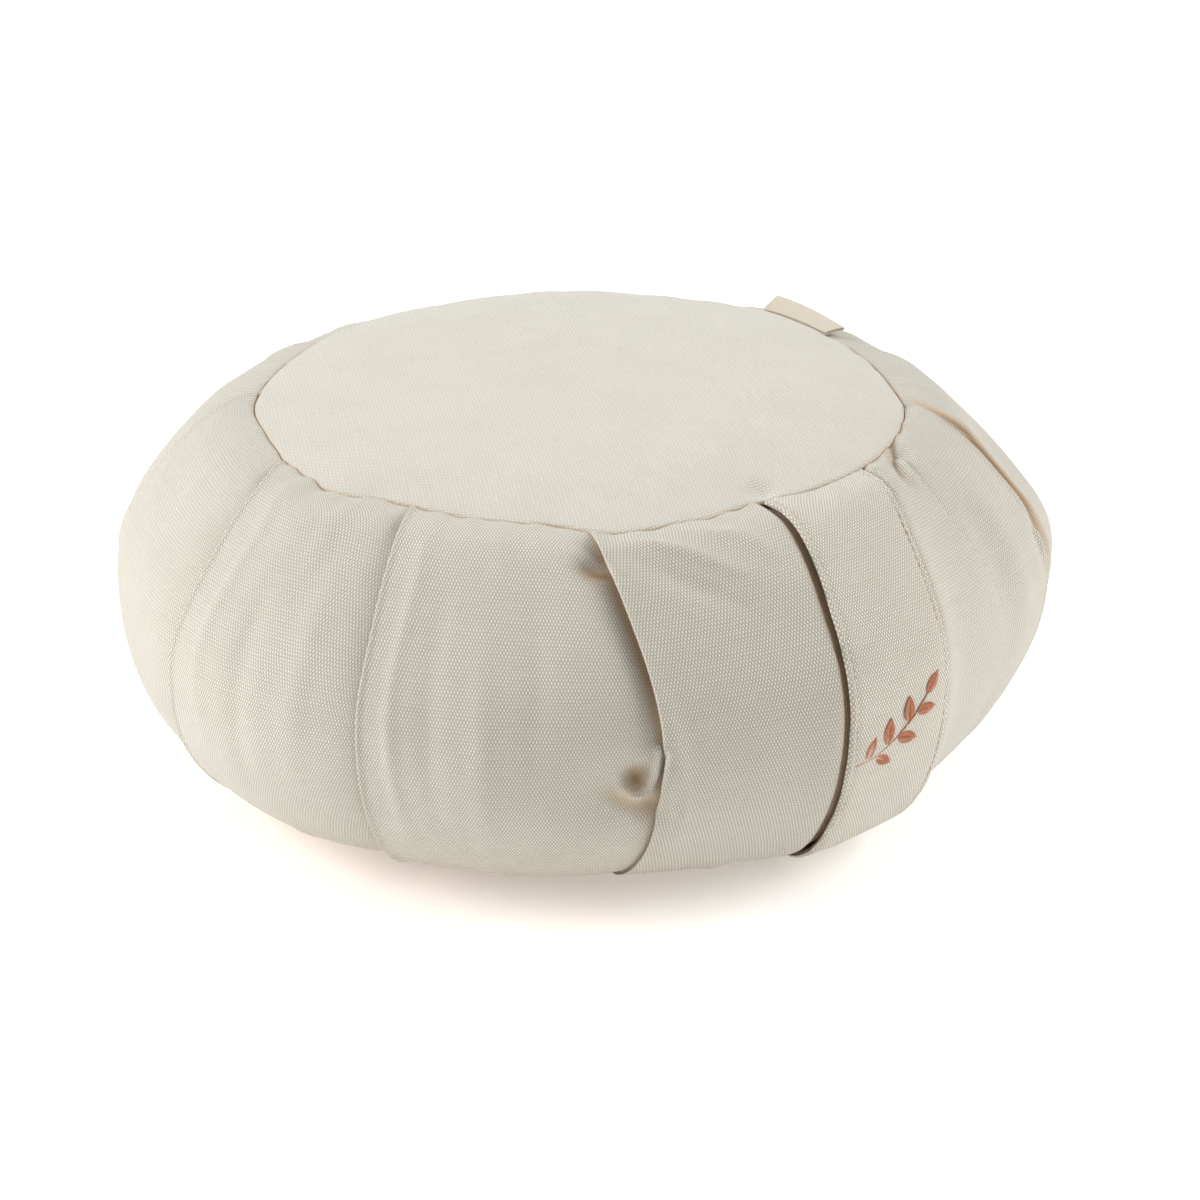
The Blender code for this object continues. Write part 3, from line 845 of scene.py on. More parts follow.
class NodeDesk:
    """Places and joins nodes in one tree."""

    def __init__(self, tree: bpy.types.NodeTree) -> None:
        """Starts on an empty tree."""
        self.tree = tree
        tree.nodes.clear()

    def put(self, kind: str, **settings: object) -> bpy.types.Node:
        """A new node of a kind, with its own settings."""
        node = self.tree.nodes.new(kind)
        for name, value in settings.items():
            setattr(node, name, value)
        return node

    def feed(self, socket: bpy.types.NodeSocket, value: object) -> None:
        """Joins a socket to another one, or sets it to a plain value."""
        if isinstance(value, bpy.types.NodeSocket):
            self.tree.links.new(value, socket)
        elif value is not None:
            socket.default_value = value

    def preset(self, node: bpy.types.Node, **values: object) -> None:
        """Sets a node's inputs by name, with _ for a space."""
        for name, value in values.items():
            node.inputs[name.replace("_", " ")].default_value = value

    def math(self, operation: str, *values: object, clamp: bool = False) -> bpy.types.NodeSocket:
        """The result of a Math node."""
        node = self.put("ShaderNodeMath", operation=operation, use_clamp=clamp)
        for socket, value in zip(node.inputs, values):
            self.feed(socket, value)
        return node.outputs[0]

    def noise(self, vector: object, scale: float, detail: float = 2.0) -> bpy.types.NodeSocket:
        """The value of a Noise node, between about 0.25 and 0.75."""
        node = self.put("ShaderNodeTexNoise")
        self.feed(node.inputs["Vector"], vector)
        self.feed(node.inputs["Scale"], scale)
        self.feed(node.inputs["Detail"], detail)
        return node.outputs["Fac"]

    def stretched(self, vector: object, scale: tuple[float, float, float]) -> bpy.types.NodeSocket:
        """A vector with its parts scaled one by one."""
        node = self.put("ShaderNodeVectorMath", operation="MULTIPLY")
        self.feed(node.inputs[0], vector)
        self.feed(node.inputs[1], scale)
        return node.outputs[0]

    def ramp(self, value: object, low: float, high: float) -> bpy.types.NodeSocket:
        """A value brought from low..high to 0..1, smoothly."""
        node = self.put("ShaderNodeMapRange", interpolation_type="SMOOTHSTEP")
        self.feed(node.inputs["Value"], value)
        self.preset(node, From_Min=low, From_Max=high)
        return node.outputs["Result"]

    def blend(self, share: object, first: object, second: object) -> bpy.types.NodeSocket:
        """The mix of two colours."""
        node = self.put("ShaderNodeMix", data_type="RGBA", clamp_factor=True)
        self.feed(node.inputs["Factor"], share)
        self.feed(node.inputs[6], first)
        self.feed(node.inputs[7], second)
        return node.outputs[2]

    def bump(self, height: object, strength: float, depth: float) -> bpy.types.NodeSocket:
        """The normal of a relief with this height, strength and depth."""
        node = self.put("ShaderNodeBump")
        self.feed(node.inputs["Height"], height)
        self.preset(node, Strength=strength, Distance=depth)
        return node.outputs["Normal"]


def new_material(name: str) -> tuple[bpy.types.Material, NodeDesk, bpy.types.Node]:
    """A new material with its desk and its Principled shader."""
    made = bpy.data.materials.new(name)
    made.use_nodes = True
    desk = NodeDesk(made.node_tree)
    output = desk.put("ShaderNodeOutputMaterial")
    shader = desk.put("ShaderNodeBsdfPrincipled")
    desk.feed(output.inputs["Surface"], shader.outputs[0])
    return made, desk, shader


class WeaveEffect:
    """The plain canvas weave that every cloth finish shares."""

    NAME = "canvas_weave"
    INPUTS = {"Warp pitch": 0.55 * MM, "Weft pitch": 1.18 * MM, "Wander": 1.0}
    OUTPUTS = ("Height", "Gap", "Mottle", "Slub")
    WARP_WAVES = (420.0, 130.0, 1.0)
    WEFT_WAVES = (110.0, 420.0, 1.0)
    FUZZ_WAVES = (4200.0, 4200.0, 1.0)
    MOTTLE_WAVES = 38.0
    UNDER_SHARE = 0.15
    FUZZ_SHARE = 0.3

    @classmethod
    def group(cls) -> bpy.types.NodeTree:
        """The node group, made the first time it is asked for.

        Returns:
            A group from the cloth's map to the height, the gaps and the mottling.
        """
        if cls.NAME in bpy.data.node_groups:
            return bpy.data.node_groups[cls.NAME]
        tree = bpy.data.node_groups.new(cls.NAME, "ShaderNodeTree")
        face = tree.interface
        face.new_socket("Place", in_out="INPUT", socket_type="NodeSocketVector")
        for name, value in cls.INPUTS.items():
            socket = face.new_socket(name, in_out="INPUT", socket_type="NodeSocketFloat")
            socket.default_value = value
        for name in cls.OUTPUTS:
            face.new_socket(name, in_out="OUTPUT", socket_type="NodeSocketFloat")
        desk = NodeDesk(tree)
        given = desk.put("NodeGroupInput")
        result = desk.put("NodeGroupOutput")
        place = given.outputs["Place"]
        parts = desk.put("ShaderNodeSeparateXYZ")
        desk.feed(parts.inputs[0], place)
        per_warp = desk.noise(desk.stretched(place, cls.WARP_WAVES), 1.0)
        per_weft = desk.noise(desk.stretched(place, cls.WEFT_WAVES), 1.0)
        cells = []
        for noise, part, pitch in (
            (per_warp, parts.outputs[0], given.outputs["Warp pitch"]),
            (per_weft, parts.outputs[1], given.outputs["Weft pitch"]),
        ):
            sway = desk.math("MULTIPLY", desk.math("SUBTRACT", noise, 0.5), given.outputs["Wander"])
            count = desk.math("ADD", desk.math("DIVIDE", part, pitch), sway)
            cells.append(desk.math("SINE", desk.math("MULTIPLY", count, math.pi)))
        crossing = desk.math("MULTIPLY", cells[0], cells[1])
        over, under = (
            desk.math("POWER", desk.math("MAXIMUM", side, 0.0), 0.6)
            for side in (crossing, desk.math("MULTIPLY", crossing, -1.0))
        )
        fuzz = desk.math(
            "SUBTRACT", desk.noise(desk.stretched(place, cls.FUZZ_WAVES), 1.0, 3.0), 0.5
        )
        height = desk.math("ADD", over, desk.math("MULTIPLY", under, cls.UNDER_SHARE))
        height = desk.math("ADD", height, desk.math("MULTIPLY", fuzz, cls.FUZZ_SHARE))
        desk.feed(result.inputs["Height"], height)
        desk.feed(result.inputs["Gap"], desk.math("SUBTRACT", 1.0, desk.ramp(height, 0.10, 0.85)))
        desk.feed(result.inputs["Mottle"], desk.noise(place, cls.MOTTLE_WAVES, 4.0))
        desk.feed(result.inputs["Slub"], desk.ramp(per_weft, 0.35, 0.75))
        return tree


@dataclass(frozen=True)
class CanvasFinish:
    """Natural cotton canvas: its yarn and its weave, with painted brownish shade in its folds and a
    painted highlight on their lit edges.
    """

    name: str
    yarn: tuple[float, float, float] = (0.79, 0.762, 0.685)
    shade: tuple[float, float, float] = (0.39, 0.36, 0.285)
    # The next three colours are painted light: brownish shade and deep shade for folds, and a
    # highlight for the lit edges of folds.
    warm_shade: tuple[float, float, float] = (0.54, 0.36, 0.20)
    deep: tuple[float, float, float] = (0.25, 0.185, 0.12)
    painted_highlight: tuple[float, float, float] = (0.90, 0.87, 0.80)
    warp_pitch: float = 0.55 * MM
    weft_pitch: float = 1.18 * MM
    wander: float = 0.7
    relief: float = 0.22 * MM
    gap_share: float = 0.84
    sheen: float = 0.25
    slub: tuple[float, float, float] = (0.86, 0.84, 0.77)
    slub_share: float = 0.03
    mottle_share: float = 0.10
    # How much the painted highlight hides the weave, and how strongly the painted highlight and
    # painted shade are laid on.
    highlight_hides_weave: float = 0.85
    highlight_share: float = 0.6
    warm_shade_share: float = 0.92
    deep_shade_share: float = 0.85
    deep_shade_range: tuple[float, float] = (0.6, 1.25)

    def material(self) -> bpy.types.Material:
        """Builds the material.

        Returns:
            A material that reads the cloth's own map, and its crease attribute of painted shade and
            painted highlight.
        """
        made, desk, shader = new_material(self.name)
        cloth = desk.put("ShaderNodeUVMap", uv_map="cloth")
        weave = desk.put("ShaderNodeGroup", node_tree=WeaveEffect.group())
        desk.feed(weave.inputs["Place"], cloth.outputs["UV"])
        desk.preset(
            weave, Warp_pitch=self.warp_pitch, Weft_pitch=self.weft_pitch, Wander=self.wander
        )
        # The crease attribute is painted light: above nought it paints shade, below nought a
        # highlight.
        fold = desk.put("ShaderNodeAttribute", attribute_name="crease").outputs["Fac"]
        lit = desk.math("MULTIPLY", fold, -1.0, clamp=True)
        woven = desk.math("SUBTRACT", 1.0, desk.math("MULTIPLY", lit, self.highlight_hides_weave))
        gap = desk.math("MULTIPLY", weave.outputs["Gap"], self.gap_share)
        mottle = desk.ramp(weave.outputs["Mottle"], 0.35, 0.7)
        colour = (*self.yarn, 1.0)
        # Weave gaps, mottle and slubs are the cloth's own tone; the last three blends paint a
        # highlight on lit fold edges and brownish and deep shade in folds.
        for share, tone in (
            (desk.math("MULTIPLY", gap, woven), self.shade),
            (desk.math("MULTIPLY", mottle, self.mottle_share), self.shade),
            (desk.math("MULTIPLY", weave.outputs["Slub"], self.slub_share), self.slub),
            (desk.math("MULTIPLY", lit, self.highlight_share), self.painted_highlight),
            (desk.math("MULTIPLY", fold, self.warm_shade_share, clamp=True), self.warm_shade),
            (desk.math("MULTIPLY", desk.ramp(fold, *self.deep_shade_range), self.deep_shade_share), self.deep),
        ):
            colour = desk.blend(share, colour, (*tone, 1.0))
        desk.feed(shader.inputs["Base Color"], colour)
        rough = desk.math("ADD", 0.82, desk.math("MULTIPLY", weave.outputs["Gap"], 0.12))
        desk.feed(shader.inputs["Roughness"], rough)
        desk.preset(shader, Sheen_Weight=self.sheen, Sheen_Roughness=0.45, Specular_IOR_Level=0.25)
        desk.feed(shader.inputs["Normal"], desk.bump(weave.outputs["Height"], 0.8, self.relief))
        return made


@dataclass(frozen=True)
class ThreadFinish:
    """Smooth sewing or embroidery thread."""

    name: str
    colour: tuple[float, float, float]
    dark: tuple[float, float, float]
    roughness: float = 0.5
    sheen: float = 0.2
    tone_waves: float = 900.0
    ply_waves: float = 5200.0
    ply_relief: float = 0.05 * MM

    def material(self) -> bpy.types.Material:
        """Builds the material.

        Returns:
            A material whose tone changes a little from thread to thread.
        """
        made, desk, shader = new_material(self.name)
        place = desk.put("ShaderNodeTexCoord").outputs["Object"]
        tone = desk.ramp(desk.noise(place, self.tone_waves, 3.0), 0.3, 0.7)
        colour = desk.blend(tone, (*self.dark, 1.0), (*self.colour, 1.0))
        desk.feed(shader.inputs["Base Color"], colour)
        gloss = desk.math("ADD", self.roughness, desk.math("MULTIPLY", tone, 0.12))
        desk.feed(shader.inputs["Roughness"], gloss)
        desk.preset(shader, Sheen_Weight=self.sheen)
        ply = desk.bump(desk.noise(place, self.ply_waves, 2.0), 0.4, self.ply_relief)
        desk.feed(shader.inputs["Normal"], ply)
        return made


# ------------------------------------------------------------------ filled body


class Layer(Enum):
    """Where a column of points lies in a knife pleat."""

    TOP = "upper face of the panel on top"
    CREST = "start of the fold's round edge"
    TIP = "outermost line of the fold"
    LOWER = "end of the round edge"
    UNDER = "turned-back cloth below the panel on top"
    POCKET = "bottom of the pleat"
    FLOOR = "tucked cloth below the panel on top"
    LOW = "tucked panel in the open"
    OPEN = "panel between two pleats"


class ColumnPlace(NamedTuple):
    """One column of points: its panel, its pleat (if any) and its place there."""

    panel: int
    pleat: int
    layer: Layer
    aside: float
    share: float


@dataclass(frozen=True)
class FoldSection:
    """The cross-section of a knife pleat, from the panel on top to the tucked one."""

    edge: float = 1.2 * MM
    ridge: float = 0.35 * MM
    ridge_width: float = 0.9 * MM
    lift_share: float = 0.25
    lift_spread: float = 7.0 * MM
    tip: float = 0.4 * MM
    top_asides: tuple[float, ...] = (17.0, 13.0, 10.0, 7.4, 5.2, 3.4, 2.1, 1.2, 0.5)
    fine_top_asides: tuple[float, ...] = (
        17.0, 15.2, 13.6, 12.2, 11.0, 10.0, 9.0, 8.0, 6.9, 5.8, 4.7, 3.6, 2.5, 1.6, 1.0, 0.5, 0.2,
    )
    low_asides: tuple[float, ...] = (0.4, 1.1, 2.2, 3.6, 5.4, 8.0, 11.0, 14.5)
    fine_low_asides: tuple[float, ...] = (
        0.4, 1.1, 2.0, 3.0, 4.1, 5.2, 6.3, 7.4, 8.5, 9.7, 11.0, 12.4, 14.0, 15.8, 17.8,
    )
    handle_low_asides: tuple[float, ...] = (
        0.4, 1.6, 3.0, 4.4, 5.6, 6.8, 8.0, 9.2, 10.4, 11.6, 12.8, 14.0,
        15.2, 16.4, 17.6, 18.8, 20.0, 21.2, 22.4, 23.8, 25.6,
    )
    seam_step_share: float = 0.12
    seam_step_drop: float = 0.07
    edge_share: float = 0.75
    ridge_inset: float = 0.6 * MM
    ridge_at_crest: float = 0.45
    ridge_at_tip: float = 0.2
    rounder_ridge: float = 1.8
    rounder_before: float = -60.0
    floor_slope: float = 0.12
    # Painted shade beside a fold, a painted shadow line along it and a painted highlight on its lit
    # edge.
    shaded_step: float = 6.0 * MM
    shade_share: float = 0.62
    shade_reach: float = 3.2 * MM
    shadow_line_share: float = 0.4
    shadow_line_reach: float = 1.5 * MM
    lit_share: float = 0.9
    lit_reach: float = 0.5 * MM
    lit_on_right: float = 0.25

    def covering(self, fine: bool) -> list[tuple[Layer, float, float]]:
        """The columns of the panel on top: layer, distance in mm, share of the tuck."""
        asides = self.fine_top_asides if fine else self.top_asides
        rows = [(Layer.TOP, aside, 0.0) for aside in asides]
        rows += [(Layer.CREST, 0.0, 0.0), (Layer.TIP, 0.0, 0.0), (Layer.LOWER, 0.0, 0.0)]
        rows += [(Layer.UNDER, 0.0, 0.3), (Layer.UNDER, 0.0, 0.65), (Layer.POCKET, 0.0, 1.0)]
        return rows

    def tucked(self, pleat: int) -> list[tuple[Layer, float, float]]:
        """The columns of the tucked panel, from the bottom of the pleat outwards."""
        rows = [(Layer.FLOOR, 0.0, 1.0), (Layer.FLOOR, 0.0, 0.65), (Layer.FLOOR, 0.0, 0.3)]
        asides = self.fine_low_asides if pleat in DEEP_PLEATS else self.low_asides
        if pleat == HANDLE_PLEAT:
            asides = self.handle_low_asides
        return rows + [(Layer.LOW, aside, 0.0) for aside in asides]

    def step_at(self, pleat: Pleat, drop: Array) -> Array:
        """The pleat's step at each drop, flattened where it is sewn down."""
        step = through(pleat.seam_step, pleat.girth_step, pleat.hem_step, drop)
        fade = self.seam_step_share + np.minimum(drop, 1.0 - drop) / self.seam_step_drop
        return step * np.minimum(1.0, fade)

    def aside_at(self, place: ColumnPlace, pleat: Pleat, drop: Array, squeeze: Array) -> Array:
        """How far a column lies from the fold, towards the panel on top.

        Args:
            place: The column.
            pleat: Its pleat.
            drop: The rows' drops.
            squeeze: The share by which a narrow panel draws far columns in.

        Returns:
            The distance in metres at each row, below nought on the tucked side.
        """
        shows = along_stations(pleat.shows, drop)
        if place.layer in (Layer.TOP, Layer.LOW):
            far = place.aside * MM
            near = far * (1.0 - (1.0 - squeeze) * place.aside / self.top_asides[0])
            return near if place.layer is Layer.TOP else -near
        # Where the fold doesn't show, its layers lie these hairbreadths behind one another.
        flat = {
            Layer.CREST: 0.0,
            Layer.TIP: -0.06 * MM,
            Layer.LOWER: -0.10 * MM,
            Layer.UNDER: -(0.12 + 0.1 * place.share) * MM,
            Layer.POCKET: -0.24 * MM,
            Layer.FLOOR: -(0.36 - 0.1 * place.share) * MM,
        }[place.layer]
        full = -self.tip if place.layer is Layer.TIP else pleat.tuck * place.share
        return flat + (full - flat) * shows

    def offset(self, layer: Layer, aside: Array, pleat: Pleat, drop: Array) -> Array:
        """How far a fold moves a column off the smooth wall.

        Args:
            layer: Where the column lies in the pleat.
            aside: Its distance from the fold.
            pleat: The pleat.
            drop: The rows' drops.

        Returns:
            The distance in metres at each row.
        """
        shows = along_stations(pleat.shows, drop)
        step = self.step_at(pleat, drop) * shows
        lift = self.lift_share * step
        edge = np.minimum(self.edge * shows, self.edge_share * (step + lift))
        rounder = pleat.bearings[0] < self.rounder_before
        ridge = self.ridge * shows * (self.rounder_ridge if rounder else 1.0)
        under = lift * fading(np.abs(aside), self.lift_spread) - edge
        floor = -step - self.floor_slope * np.maximum(aside, 0.0)
        return {
            Layer.TOP: lift * fading(aside, self.lift_spread)
            + ridge * bell(aside - self.ridge_inset, self.ridge_width),
            Layer.CREST: lift + ridge * self.ridge_at_crest,
            Layer.TIP: lift + ridge * self.ridge_at_tip - edge / 2,
            Layer.LOWER: lift - edge,
            Layer.UNDER: under,
            Layer.POCKET: (under + floor) / 2,
            Layer.FLOOR: floor,
            Layer.LOW: -step * fading(-np.minimum(aside, 0.0), pleat.spread),
        }[layer]

    def depth(self, layer: Layer, aside: Array, pleat: Pleat, drop: Array) -> Array:
        """How much painted shade a fold puts on the cloth, 1 inside it, and -1 for a painted
        highlight on the fold's lit edge.

        Args:
            layer: Where the column lies in the pleat.
            aside: Its distance from the fold.
            pleat: The pleat.
            drop: The rows' drops.

        Returns:
            The painted shade at each row, below nought a painted highlight.
        """
        shows = along_stations(pleat.shows, drop)
        if layer in (Layer.UNDER, Layer.POCKET, Layer.FLOOR):
            return shows
        if layer is Layer.LOW:
            # Painted shade on the tucked panel beside the step, and a thin painted shadow line at
            # the fold.
            size = np.clip(self.step_at(pleat, drop) / self.shaded_step, 0.0, 1.0) ** 2
            wide = self.shade_share * size * bell(aside, self.shade_reach)
            return shows * np.maximum(wide, self.shadow_line_share * bell(aside, self.shadow_line_reach))
        # A painted highlight on the fold's edge, weaker on the folds at positive bearings, which
        # face away from the left light.
        lit = shows if pleat.bearings[0] < 0.0 else self.lit_on_right * shows
        if layer in (Layer.CREST, Layer.TIP):
            return -lit
        if layer is Layer.TOP:
            past = np.maximum(aside - self.ridge_inset, 0.0)
            return -self.lit_share * lit * bell(past, self.lit_reach)
        return np.zeros_like(drop)


@dataclass(frozen=True)
class FilledBody:
    """The filled cushion: one closed form with its wall laid in knife pleats."""

    piece: Piece = Piece("body_cushion", "pleated_cushion", "side_canvas")
    fold: FoldSection = FoldSection()
    seam_zone: float = 0.05
    zone_rows: tuple[int, int, int] = (14, 114, 12)
    spacing: float = 2.5 * MM
    fold_width: float = 32.0 * MM
    fold_share: float = 0.42
    girth: float = 166.0 * MM
    crown: float = 0.8 * MM
    crown_at_seams: float = 0.4
    bed_depth: float = 3.1 * MM
    bed_edge: float = 2.4 * MM
    rest_gap: float = 0.5 * MM
    rest_width: float = 20.0 * MM
    rest_left: float = 26.0 * MM
    rest_right: float = 13.0 * MM
    lip: float = 2.0 * MM
    lip_on_right: float = 0.4
    lip_inset: float = 0.25 * MM
    lip_rise: float = 0.35 * MM
    lip_reach: float = 9.0 * MM
    # Painted shade on the wall under the handle and along its edges.
    shade: float = 0.85
    shade_left: float = 1.1 * MM
    shade_right: float = 1.0 * MM
    map_shift: float = 0.4
    map_join: float = 0.5 * MM
    rim_tuck: float = 0.2 * MM
    lowest: float = 1.0 * MM
    cap_rings: tuple[float, ...] = (0.0, 0.2, 0.4, 0.6, 0.75, 0.88, 0.96, 1.0)
    base_rings: tuple[float, ...] = (1.0, 0.96, 0.904, 0.6, 0.3, 0.0)

    def row_drops(self) -> Array:
        """The drops of the wall's rows, closer together beside the two seams."""
        stops = (0.0, self.seam_zone, 1.0 - self.seam_zone, 1.0)
        upper, middle, lower = (
            np.linspace(start, end, rows)
            for start, end, rows in zip(stops, stops[1:], self.zone_rows)
        )
        return np.concatenate([upper, middle[1:-1], lower])

    @staticmethod
    def covers_forward(index: int) -> bool:
        """True where the panel at the higher bearings lies on top at this fold."""
        return PLEATS[index % len(PLEATS)].bearings[0] < 0.0

    def columns(self) -> list[ColumnPlace]:
        """Every column of points round the cushion, panel by panel."""
        found = []
        count = len(PLEATS)
        for panel in range(count):
            begin = self.side_columns(panel, ahead=True)
            finish = self.side_columns(panel + 1, ahead=False)
            start, end = (
                PLEATS[row % count].bearings[GIRTH_STATION] for row in (panel, panel + 1)
            )
            width = math.radians((end - start) % 360.0) * self.girth
            between = max(2, round((width - self.fold_width) / self.spacing))
            found += [ColumnPlace(panel, panel, *row) for row in begin]
            found += [
                ColumnPlace(panel, -1, Layer.OPEN, 0.0, (i + 1) / (between + 1))
                for i in range(between)
            ]
            found += [ColumnPlace(panel, panel + 1, *row) for row in finish]
        return found

    def side_columns(self, index: int, ahead: bool) -> list[tuple[Layer, float, float]]:
        """The columns beside one fold, in the order of their bearings.

        Args:
            index: The fold.
            ahead: True for the panel ahead of it, False for the one behind it.

        Returns:
            Layer, distance and share of each column.
        """
        pleat = index % len(PLEATS)
        if self.covers_forward(index) == ahead:
            rows = self.fold.covering(pleat in CRISP_PLEATS)
            return rows[::-1] if ahead else rows
        rows = self.fold.tucked(pleat)
        return rows if ahead else rows[::-1]

    def pleat_bearing(self, index: int, drop: Array) -> Array:
        """A pleat's bearing at each drop, counted on past the last pleat."""
        turns, row = divmod(index, len(PLEATS))
        return along_stations(PLEATS[row].bearings, drop) + 360.0 * turns

    def wall_grid(self, places: list[ColumnPlace], drop: Array) -> tuple[Array, Array, Array]:
        """Bearing, pleat offset and painted fold shade of every point of the wall.

        Args:
            places: The columns.
            drop: The rows' drops.

        Returns:
            Three arrays, one row a drop and one column a place.
        """
        bearing = np.zeros((len(drop), len(places)))
        push = np.zeros_like(bearing)
        depth = np.zeros_like(bearing)
        edges = {}
        for panel in range(len(PLEATS)):
            middle = (self.pleat_bearing(panel, drop) + self.pleat_bearing(panel + 1, drop)) / 2
            radius, _ = FORM.profile(middle, drop)
            width = self.pleat_bearing(panel + 1, drop) - self.pleat_bearing(panel, drop)
            reach = self.fold.top_asides[0] * MM
            squeeze = np.minimum(1.0, np.radians(width) * radius * self.fold_share / reach)
            edges[panel] = (radius, squeeze)
        inner: dict[int, list[Array]] = {}
        for column, place in enumerate(places):
            if place.layer is Layer.OPEN:
                continue
            radius, squeeze = edges[place.panel]
            pleat = PLEATS[place.pleat % len(PLEATS)]
            aside = self.fold.aside_at(place, pleat, drop, squeeze)
            sign = 1.0 if self.covers_forward(place.pleat) else -1.0
            bearing[:, column] = self.pleat_bearing(place.pleat, drop) + sign * np.degrees(
                aside / radius
            )
            inner.setdefault(place.panel, []).append(bearing[:, column])
        for column, place in enumerate(places):
            if place.layer is not Layer.OPEN:
                continue
            ahead = len(self.side_columns(place.panel, ahead=True))
            start = inner[place.panel][ahead - 1]
            end = inner[place.panel][ahead]
            bearing[:, column] = start + (end - start) * place.share
        for column, place in enumerate(places):
            radius, _ = edges[place.panel]
            push[:, column], depth[:, column] = self.column_push(
                place, bearing[:, column], radius, drop
            )
        return bearing, push, depth

    def column_push(
        self, place: ColumnPlace, bearing: Array, radius: Array, drop: Array
    ) -> tuple[Array, Array]:
        """How far a panel's crown and its two folds move one column.

        Args:
            place: The column.
            bearing: Its bearing at each row.
            radius: The wall's radius at each row.
            drop: The rows' drops.

        Returns:
            The distance off the smooth wall, and the painted shade of the fold from 0 to 1 (below
            nought, a painted highlight on its edge).
        """
        start = self.pleat_bearing(place.panel, drop)
        end = self.pleat_bearing(place.panel + 1, drop)
        across = np.clip(2.0 * (bearing - start) / (end - start) - 1.0, -1.0, 1.0)
        crown = self.crown_at_seams + (1.0 - self.crown_at_seams) * np.sin(math.pi * drop)
        push = -self.crown * crown * across**2
        depth = np.zeros_like(drop)
        for index, ahead in ((place.panel, True), (place.panel + 1, False)):
            pleat = PLEATS[index % len(PLEATS)]
            turn = 1.0 if self.covers_forward(index) else -1.0
            aside = turn * np.radians(bearing - self.pleat_bearing(index, drop)) * radius
            covers = self.covers_forward(index) == ahead
            layer = Layer.TOP if covers else Layer.LOW
            if place.pleat == index:
                layer = place.layer
            push = push + self.fold.offset(layer, aside, pleat, drop)
            if place.pleat == index or layer is Layer.LOW:
                depth = depth + self.fold.depth(layer, aside, pleat, drop)
        return push, depth

    @staticmethod
    def beside_handle(bearing: Array, radius: Array, drop: Array) -> tuple[Array, Array]:
        """How far points lie beside the handle's middle, and True on its half of the wall."""
        off_middle = wrapped(bearing - through(*CarryHandle.bearings, drop))
        return radius * np.sin(np.radians(off_middle)), np.abs(off_middle) < 90.0

    def handle_bed(self, bearing: Array, radius: Array, drop: Array) -> Array:
        """How deep the wall gives way under the handle's two ends."""
        aside, near = self.beside_handle(bearing, radius, drop)
        past = (np.abs(aside) - CarryHandle.width / 2) / self.bed_edge
        return self.bed_depth * falling(4.0 * (past - 0.8)) * CarryHandle.bed_along(drop) * near

    def handle_rest(self, bearing: Array, radius: Array, drop: Array) -> Array:
        """How far the filling swells up towards the handle, under and beside it."""
        aside, near = self.beside_handle(bearing, radius, drop)
        left = aside < 0.0
        beyond = np.abs(aside) - CarryHandle.width / 2 - self.lip_inset
        lip = falling(-beyond / self.lip_rise) * bell(np.maximum(beyond, 0.0), self.lip_reach)
        lip = lip * self.lip * np.where(left, 1.0, self.lip_on_right)
        lip = lip * np.sin(math.pi * np.clip(drop, 0.0, 1.0)) ** 0.5
        past = np.clip(np.abs(aside) - self.rest_width, 0.0, None)
        rise = np.clip(CarryHandle.off_wall(drop) - self.rest_gap, 0.0, None)
        rise = rise * bell(past, np.where(left, self.rest_left, self.rest_right)) + lip
        return rise * near

    def handle_shade(self, bearing: Array, radius: Array, drop: Array) -> Array:
        """How much brownish painted shade lies on the wall beneath the handle and along its two
        edges.
        """
        aside, near = self.beside_handle(bearing, radius, drop)
        past = np.clip(np.abs(aside) - CarryHandle.width / 2, 0.0, None)
        spread = np.where(aside < 0.0, self.shade_left, self.shade_right)
        return self.shade * bell(past, spread) * near

    def ball(self, columns: int, rows: int) -> tuple[bpy.types.Mesh, Array, Array]:
        """A ball of columns and rows, with each vertex's column and row.

        Args:
            columns: Columns of points round it.
            rows: Rows of faces from top to bottom.

        Returns:
            The mesh, and the column and row of each vertex.
        """
        bm = bmesh.new()
        bmesh.ops.create_uvsphere(bm, u_segments=columns, v_segments=rows, radius=1.0)
        mesh = mesh_from(self.piece.name, bm)
        points = read_points(mesh)
        row = np.rint(np.arccos(np.clip(points[:, 2], -1.0, 1.0)) / math.pi * rows).astype(int)
        turn = np.arctan2(points[:, 1], points[:, 0]) / (2 * math.pi)
        column = np.rint(turn * columns).astype(int) % columns
        return mesh, column, row

    def form_points(self, wall: Array, bearing: Array, caps: Array, bases: Array) -> Array:
        """Rows of points over the whole body: its cap, its wall and its base.

        Args:
            wall: The wall's points, one row a drop.
            bearing: The wall's bearings.
            caps: The cap's rings, as shares.
            bases: The base's rings, as shares.

        Returns:
            Points by row and column.
        """
        top = bearing[0]
        rows = []
        for share in caps:
            seam = FORM.seam_radius(top)
            radius = share * (seam + FORM.slit)
            height = FORM.crown_height(np.minimum(radius / (seam - FORM.slit), 1.02))
            height = height + FORM.top_relief(top, np.minimum(radius, seam))
            height = height - FORM.cloth - FORM.gap
            if share == 1.0:
                height = np.minimum(height, wall[0, :, 2] - self.rim_tuck)
            rows.append(placed(radius, top, height))
        rows += list(wall)
        for share in bases:
            radius = share * (FORM.bottom_seam_radius + FORM.slit) * np.ones_like(top)
            plain = radius / (FORM.bottom_seam_radius - FORM.slit)
            height = FORM.base_height(plain) + FORM.cloth + FORM.gap
            rows.append(placed(radius, bearing[-1], height))
        return np.array(rows)

    def wall_points(self, bearing: Array, push: Array, drop: Array) -> Array:
        """The wall's points with every fold, crease and bed in place."""
        down = np.broadcast_to(drop[:, None], bearing.shape)
        radius, _ = FORM.profile(bearing, down)
        off = push + FORM.wall_relief(bearing, down) - self.handle_bed(bearing, radius, down)
        off = off + self.handle_rest(bearing, radius, down)
        radius, height = FORM.over_wall(bearing, down, off)
        return placed(radius, bearing, np.maximum(height, self.lowest))

